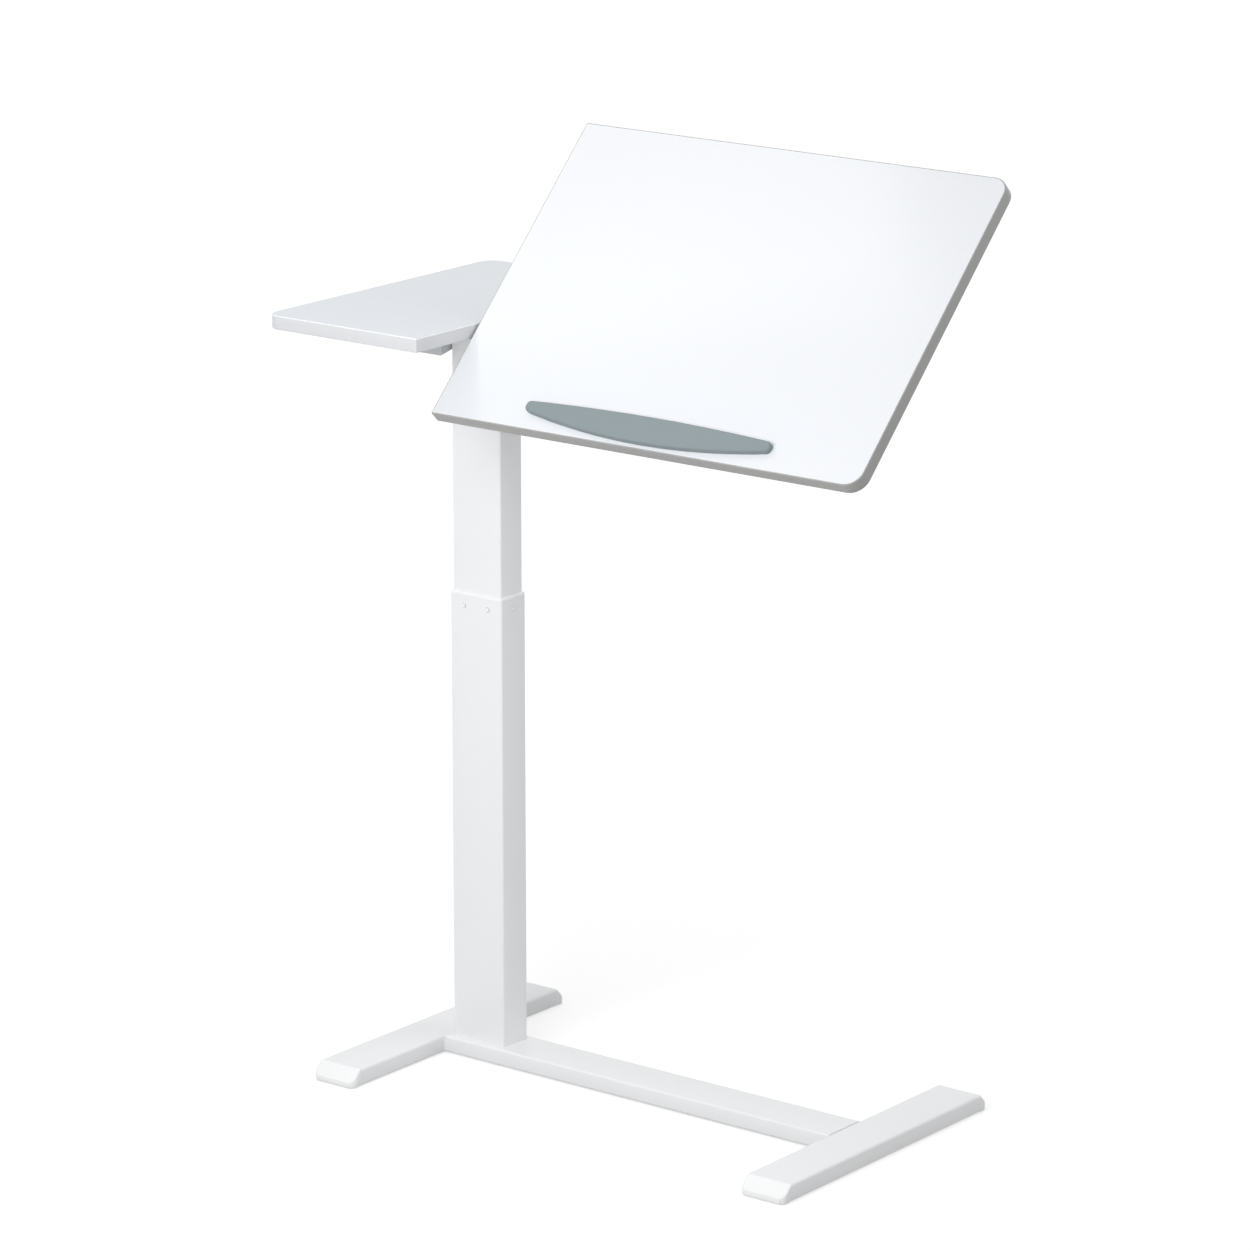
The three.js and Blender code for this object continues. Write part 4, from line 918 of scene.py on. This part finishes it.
def flatPoints(names, height):
    # heads under the main top, from the middles of their nodes, at a height of the flat top in mm
    flats = [tilted.inverted() @ middleOf(name) for name in names]
    return [tilted @ Vector((flat.x, flat.y, height * mm)) for flat in flats]


stopPoints = flatPoints(stopScrews, boards["bottom"])
stayPoints = flatPoints(stayScrews, boards["bottom"] - stayDrop)
screwPiece("stopScrewHeads", "tilting_top", stopPoints, -mainUp, "stop", stopScrews)
screwPiece("stayScrewHeads", "tilting_top", stayPoints, -mainUp, "plate", stayScrews)

# a row of three screws in each hinge leaf, with heads a little proud in the gap between the leaves
hingeRow = {"spacing": 22, "setBack": 15.5, "leafGap": 0.25, "proud": 0.06}


def hingeScrewPoints(face):
    # the heads' middles at the height of their outer faces in mm, with the top flat
    across = (boards["pivot"][0] + hingeRow["setBack"]) * mm
    points = []
    for side in ("left", "right"):
        middle = middleOf(side + "_hinge_fixed_leaf").x
        for step in (-1, 0, 1):
            points.append(Vector((middle + step * hingeRow["spacing"] * mm, across, face * mm)))
    return points


fixedPoints = hingeScrewPoints(boards["pivot"][1] - hingeRow["leafGap"] + hingeRow["proud"])
movingPoints = hingeScrewPoints(boards["pivot"][1] + hingeRow["leafGap"] - hingeRow["proud"])
screwPiece("fixedLeafScrewHeads", "lift", fixedPoints, -down, "hinge")
movingPoints = [tilted @ point for point in movingPoints]
screwPiece("movingLeafScrewHeads", "tilting_top", movingPoints, -mainUp, "hinge")
print("screws made")


# Weld beads along the joints of the painted frame: small overlapping scales on a path
def beadTree(material):
    bead = Nodes("weldBeads", {
        "Radius": 0.0016, "Pitch": 0.0008, "Flatness": 0.62, "Uneven": 0.1, "Seed": 7})
    path = bead.node("GeometryNodeMeshToCurve", {}, {0: bead.size("Geometry")})
    inputs = {"Curve": path, "Length": bead.size("Pitch")}
    points = bead.node("GeometryNodeCurveToPoints", {"mode": "LENGTH"}, inputs)
    along = bead.zAlong(points.sibling("Tangent"))
    scale = bead.node("GeometryNodeMeshIcoSphere", {}, {"Radius": bead.size("Radius"), "Subdivisions": 2})
    uneven = bead.random(1 - bead.size("Uneven"), 1 + bead.size("Uneven"))
    size = bead.vector(uneven, uneven, uneven * bead.size("Flatness"))
    return bead.finish(bead.onPoints(scale, Points=points, Rotation=along, Scale=size), material)


weldBeads = beadTree(finishes["white_paint"])
# radii of the beads, and how far they stop short of an arm's top, a tube's edges and the column's corners
weld = {
    "frameRadius": 1.7, "baseRadius": 1.2, "armStop": 3, "edgeStop": 2, "columnSide": 17, "columnCorner": 3,
}


def beadPiece(name, body, paths, radius):
    # each path is a row of points in mm
    mesh = bpy.data.meshes.new(name)
    points, edges = [], []
    for path in paths:
        edges += [(len(points) + step, len(points) + step + 1) for step in range(len(path) - 1)]
        points += [Vector(point) * mm for point in path]
    mesh.from_pydata([tuple(point) for point in points], edges, [])
    finishedPiece(name, evaluatedMesh(mesh, weldBeads, {"Radius": radius * mm}), "white_paint", body, (), 180)


def inMm(node):
    low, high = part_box(node)
    return low / mm, high / mm


def frameWelds():
    paths = []
    spineLow, spineHigh = inMm("spine")
    front, back = spineLow.y + weld["edgeStop"], spineHigh.y - weld["edgeStop"]
    for armName in ("left_arm", "right_arm"):
        armLow, armHigh = inMm(armName)
        # up one side of each end of the arm, across under it and up the other side
        top = armHigh.z - weld["armStop"]
        corners = ((armLow.x, top), (armLow.x, armLow.z), (armHigh.x, armLow.z), (armHigh.x, top))
        paths += [[(x, y, z) for x, z in corners] for y in (armLow.y, armHigh.y)]
        paths += [[(x, front, spineHigh.z), (x, back, spineHigh.z)] for x in (armLow.x, armHigh.x)]
    paths += [[(spineLow.x, front, z), (spineLow.x, back, z)] for z in (spineLow.z, spineHigh.z)]
    # once round the column under the head plate
    low, high = inMm("inner_tube")
    side, corner = weld["columnSide"], weld["columnCorner"]
    loop = [
        (low.x, -side), (low.x, side), (low.x + corner, high.y), (high.x - corner, high.y), (high.x, side),
        (high.x, -side), (high.x - corner, low.y), (low.x + corner, low.y), (low.x, -side),
    ]
    plateLevel = inMm("head_plate")[0].z
    return [*paths, [(x, y, plateLevel) for x, y in loop]]


def baseWelds():
    low, high = inMm("crossbar")
    bottom, top = low.z + weld["edgeStop"], high.z - weld["edgeStop"]
    return [[(low.x, y, bottom), (low.x, y, top)] for y in (low.y, high.y)]


beadPiece("frameWelds", "lift", frameWelds(), weld["frameRadius"])
beadPiece("baseWelds", "base", baseWelds(), weld["baseRadius"])
print("welds made")


# Inserts that close the open ends of the two rails
railInsert = {"width": 24.6, "height": 19.6, "thickness": 1.6, "edge": 0.6}


def insertTree(material):
    insert = Nodes("tubeInserts", {"Width": 0.0246, "Height": 0.0196, "Thickness": 0.0016})
    plate = insert.vector(insert.size("Thickness"), insert.size("Width"), insert.size("Height"))
    block = insert.node("GeometryNodeMeshCube", {}, {"Size": plate})
    return insert.finish(insert.onPoints(block), material)


def railInserts():
    sizes = {key: railInsert[key.lower()] * mm for key in ("Width", "Height", "Thickness")}
    out = sizes["Thickness"] / 2
    points = []
    for railName in ("hinge_rail", "rear_rail"):
        low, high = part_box(railName)
        middle = middleOf(railName)
        points += [(low.x - out, middle.y, middle.z), (high.x + out, middle.y, middle.z)]
    tree, bevel = insertTree(finishes["white_plastic"]), rounding(railInsert["edge"], 3)
    mesh = evaluatedMesh(pointMesh("railInserts", points), tree, sizes, bevel)
    finishedPiece("railInserts", mesh, "white_plastic", "lift")


railInserts()
print("inserts made")


# Clamp knob: a lobed grip with a dished face and a centre cap, on a round hub
knob = {
    "radius": 20, "lobes": 5, "lobeDepth": 2.4, "outlineSteps": 120, "gripThickness": 14, "lowerEdge": 1.6,
    "upperEdge": 3.6, "edgeSteps": 6, "hubRadius": 11, "hubHeight": 6, "hubOverlap": 2, "hubLowerEdge": 0.5,
    "hubUpperEdge": 0.2, "capRadius": 7.5, "capHeight": 0.9, "capSink": 4, "capLowerEdge": 0.1,
    "capUpperEdge": 0.7,
}


def knobOutline():
    points = []
    for step in range(knob["outlineSteps"]):
        angle = 2 * math.pi * step / knob["outlineSteps"]
        radius = knob["radius"] - knob["lobeDepth"] * (1 - math.cos(knob["lobes"] * angle)) / 2
        points.append(Vector((radius * math.cos(angle), radius * math.sin(angle))))
    return points


def clampKnob():
    middle, start = middleOf("clamp_knob"), inMm("clamp_knob")[0].x
    gripStart = start + knob["hubHeight"]
    capTop = gripStart + knob["gripThickness"]
    gripTop = capTop - knob["capHeight"]
    lower, upper = knob["lowerEdge"], knob["upperEdge"]
    hub, cap = circle(knob["hubRadius"]), circle(knob["capRadius"])
    hubTop, capStart = gripStart + knob["hubOverlap"], gripStart + knob["capSink"]
    mesh = joinedMesh("clampKnob", [
        roundedPlate(knobOutline(), gripStart, gripTop, lower, upper, knob["edgeSteps"]),
        roundedPlate(hub, start, hubTop, knob["hubLowerEdge"], knob["hubUpperEdge"]),
        roundedPlate(cap, capStart, capTop, knob["capLowerEdge"], knob["capUpperEdge"]),
    ])
    mesh.transform(Matrix(((0, 0, 1, 0), (1, 0, 0, middle.y), (0, 1, 0, middle.z), (0, 0, 0, 1))))
    finishedPiece("clamp_knob.soft", mesh, "black_plastic", "knob", ["clamp_knob"])


clampKnob()
print("knob made")


# Studio: a pale floor, softboxes in front, beside and above, and a camera at the photograph's angle
studio = {
    "floorSize": 400, "floorColor": (0.5, 0.5, 0.5), "floorLift": 0.735, "floorDip": 0.14,
    "dipStart": 0.4, "dipReach": 1.8, "fill": 0.54,
    "softboxes": {"front": (25, 1.25, (0.2, -1.82, 1.45), (-0.15, 0, 0.6), False),
                  "side": (8, 1.4, (1.7, 0.9, 2.0), (0, 0, 0.5), False),
                  "sheen": (3.6, 0.8, (-1.35, -0.2, 2.65), (0, 0, 1), True)},
    "azimuth": 37.788, "elevation": 14.889, "distance": 6.37541, "target": (-0.02926, -0.01919, 0.55856),
    "lens": 163.705,
}


def seenDirectly(wiring):
    # 1 for what the camera, mirrors and glass see, and 0 for the light that falls on the object
    camera = wiring.node("ShaderNodeLightPath", {}, {}, "Is Camera Ray")
    return (camera + camera.sibling("Is Glossy Ray") + camera.sibling("Is Transmission Ray")).clamped()


def worldLight():
    world = bpy.data.worlds.new("studioWorld")
    scene.world = world
    world.use_nodes = True
    sky = Wiring(world.node_tree)
    lit, seen = (sky.node("ShaderNodeBackground", {}, {"Color": (1, 1, 1, 1), "Strength": strength})
                 for strength in (studio["fill"], 1.0))
    either = sky.node("ShaderNodeMixShader", {}, {0: seenDirectly(sky), 1: lit, 2: seen})
    sky.feed(world.node_tree.nodes["World Output"].inputs["Surface"], either)


def floorPlane():
    half = studio["floorSize"] / 2
    mesh = bpy.data.meshes.new("floor")
    corners = [(-half, -half, 0), (half, -half, 0), (half, half, 0), (-half, half, 0)]
    mesh.from_pydata(corners, [], [(0, 1, 2, 3)])
    floor = added("floor", mesh)
    paint = Paint("paleFloor")
    paint.set(Base_Color=(*studio["floorColor"], 1), Roughness=0.9)
    # the floor glows up to white, and less round the object, where the lamps light it and its shadow falls
    reach = paint.node("ShaderNodeVectorMath", {"operation": "LENGTH"}, {0: paint.place}, "Value")
    near = paint.node("ShaderNodeMapRange", {"interpolation_type": "SMOOTHSTEP"}, {
        "Value": reach, "From Min": studio["dipStart"], "From Max": studio["dipReach"],
        "To Min": studio["floorDip"], "To Max": 0.0})
    glow = paint.node("ShaderNodeEmission", {}, {
        "Color": (1, 1, 1, 1), "Strength": seenDirectly(paint) * (studio["floorLift"] - near)})
    surface = paint.node("ShaderNodeAddShader", {}, {0: Wire(paint, paint.shader.outputs[0]), 1: glow})
    paint.feed(paint.tree.nodes["Material Output"].inputs["Surface"], surface)
    mesh.materials.append(paint.material)


def softLamps():
    # power in watts, width, place and target in metres, and whether glossy faces mirror the lamp
    for name, (power, width, place, target, mirrored) in studio["softboxes"].items():
        light = bpy.data.lights.new(name, "AREA")
        light.shape = "SQUARE"
        light.energy = power
        light.size = width
        lamp = added(name, light)
        lamp.location = place
        lamp.rotation_euler = (Vector(target) - Vector(place)).to_track_quat("-Z", "Y").to_euler()
        lamp.visible_camera = False
        lamp.visible_glossy = mirrored


def photoCamera():
    turn, rise = math.radians(studio["azimuth"]), math.radians(studio["elevation"])
    away = Vector((math.sin(turn) * math.cos(rise), -math.cos(turn) * math.cos(rise), math.sin(rise)))
    data = bpy.data.cameras.new("camera")
    data.lens = studio["lens"]
    data.sensor_width = 36
    data.clip_end = 1000
    camera = added("camera", data)
    camera.location = Vector(studio["target"]) + away * studio["distance"]
    camera.rotation_euler = (-away).to_track_quat("-Z", "Y").to_euler()
    scene.camera = camera


worldLight()
floorPlane()
softLamps()
photoCamera()
scene.view_settings.view_transform = "Standard"
print("studio made")
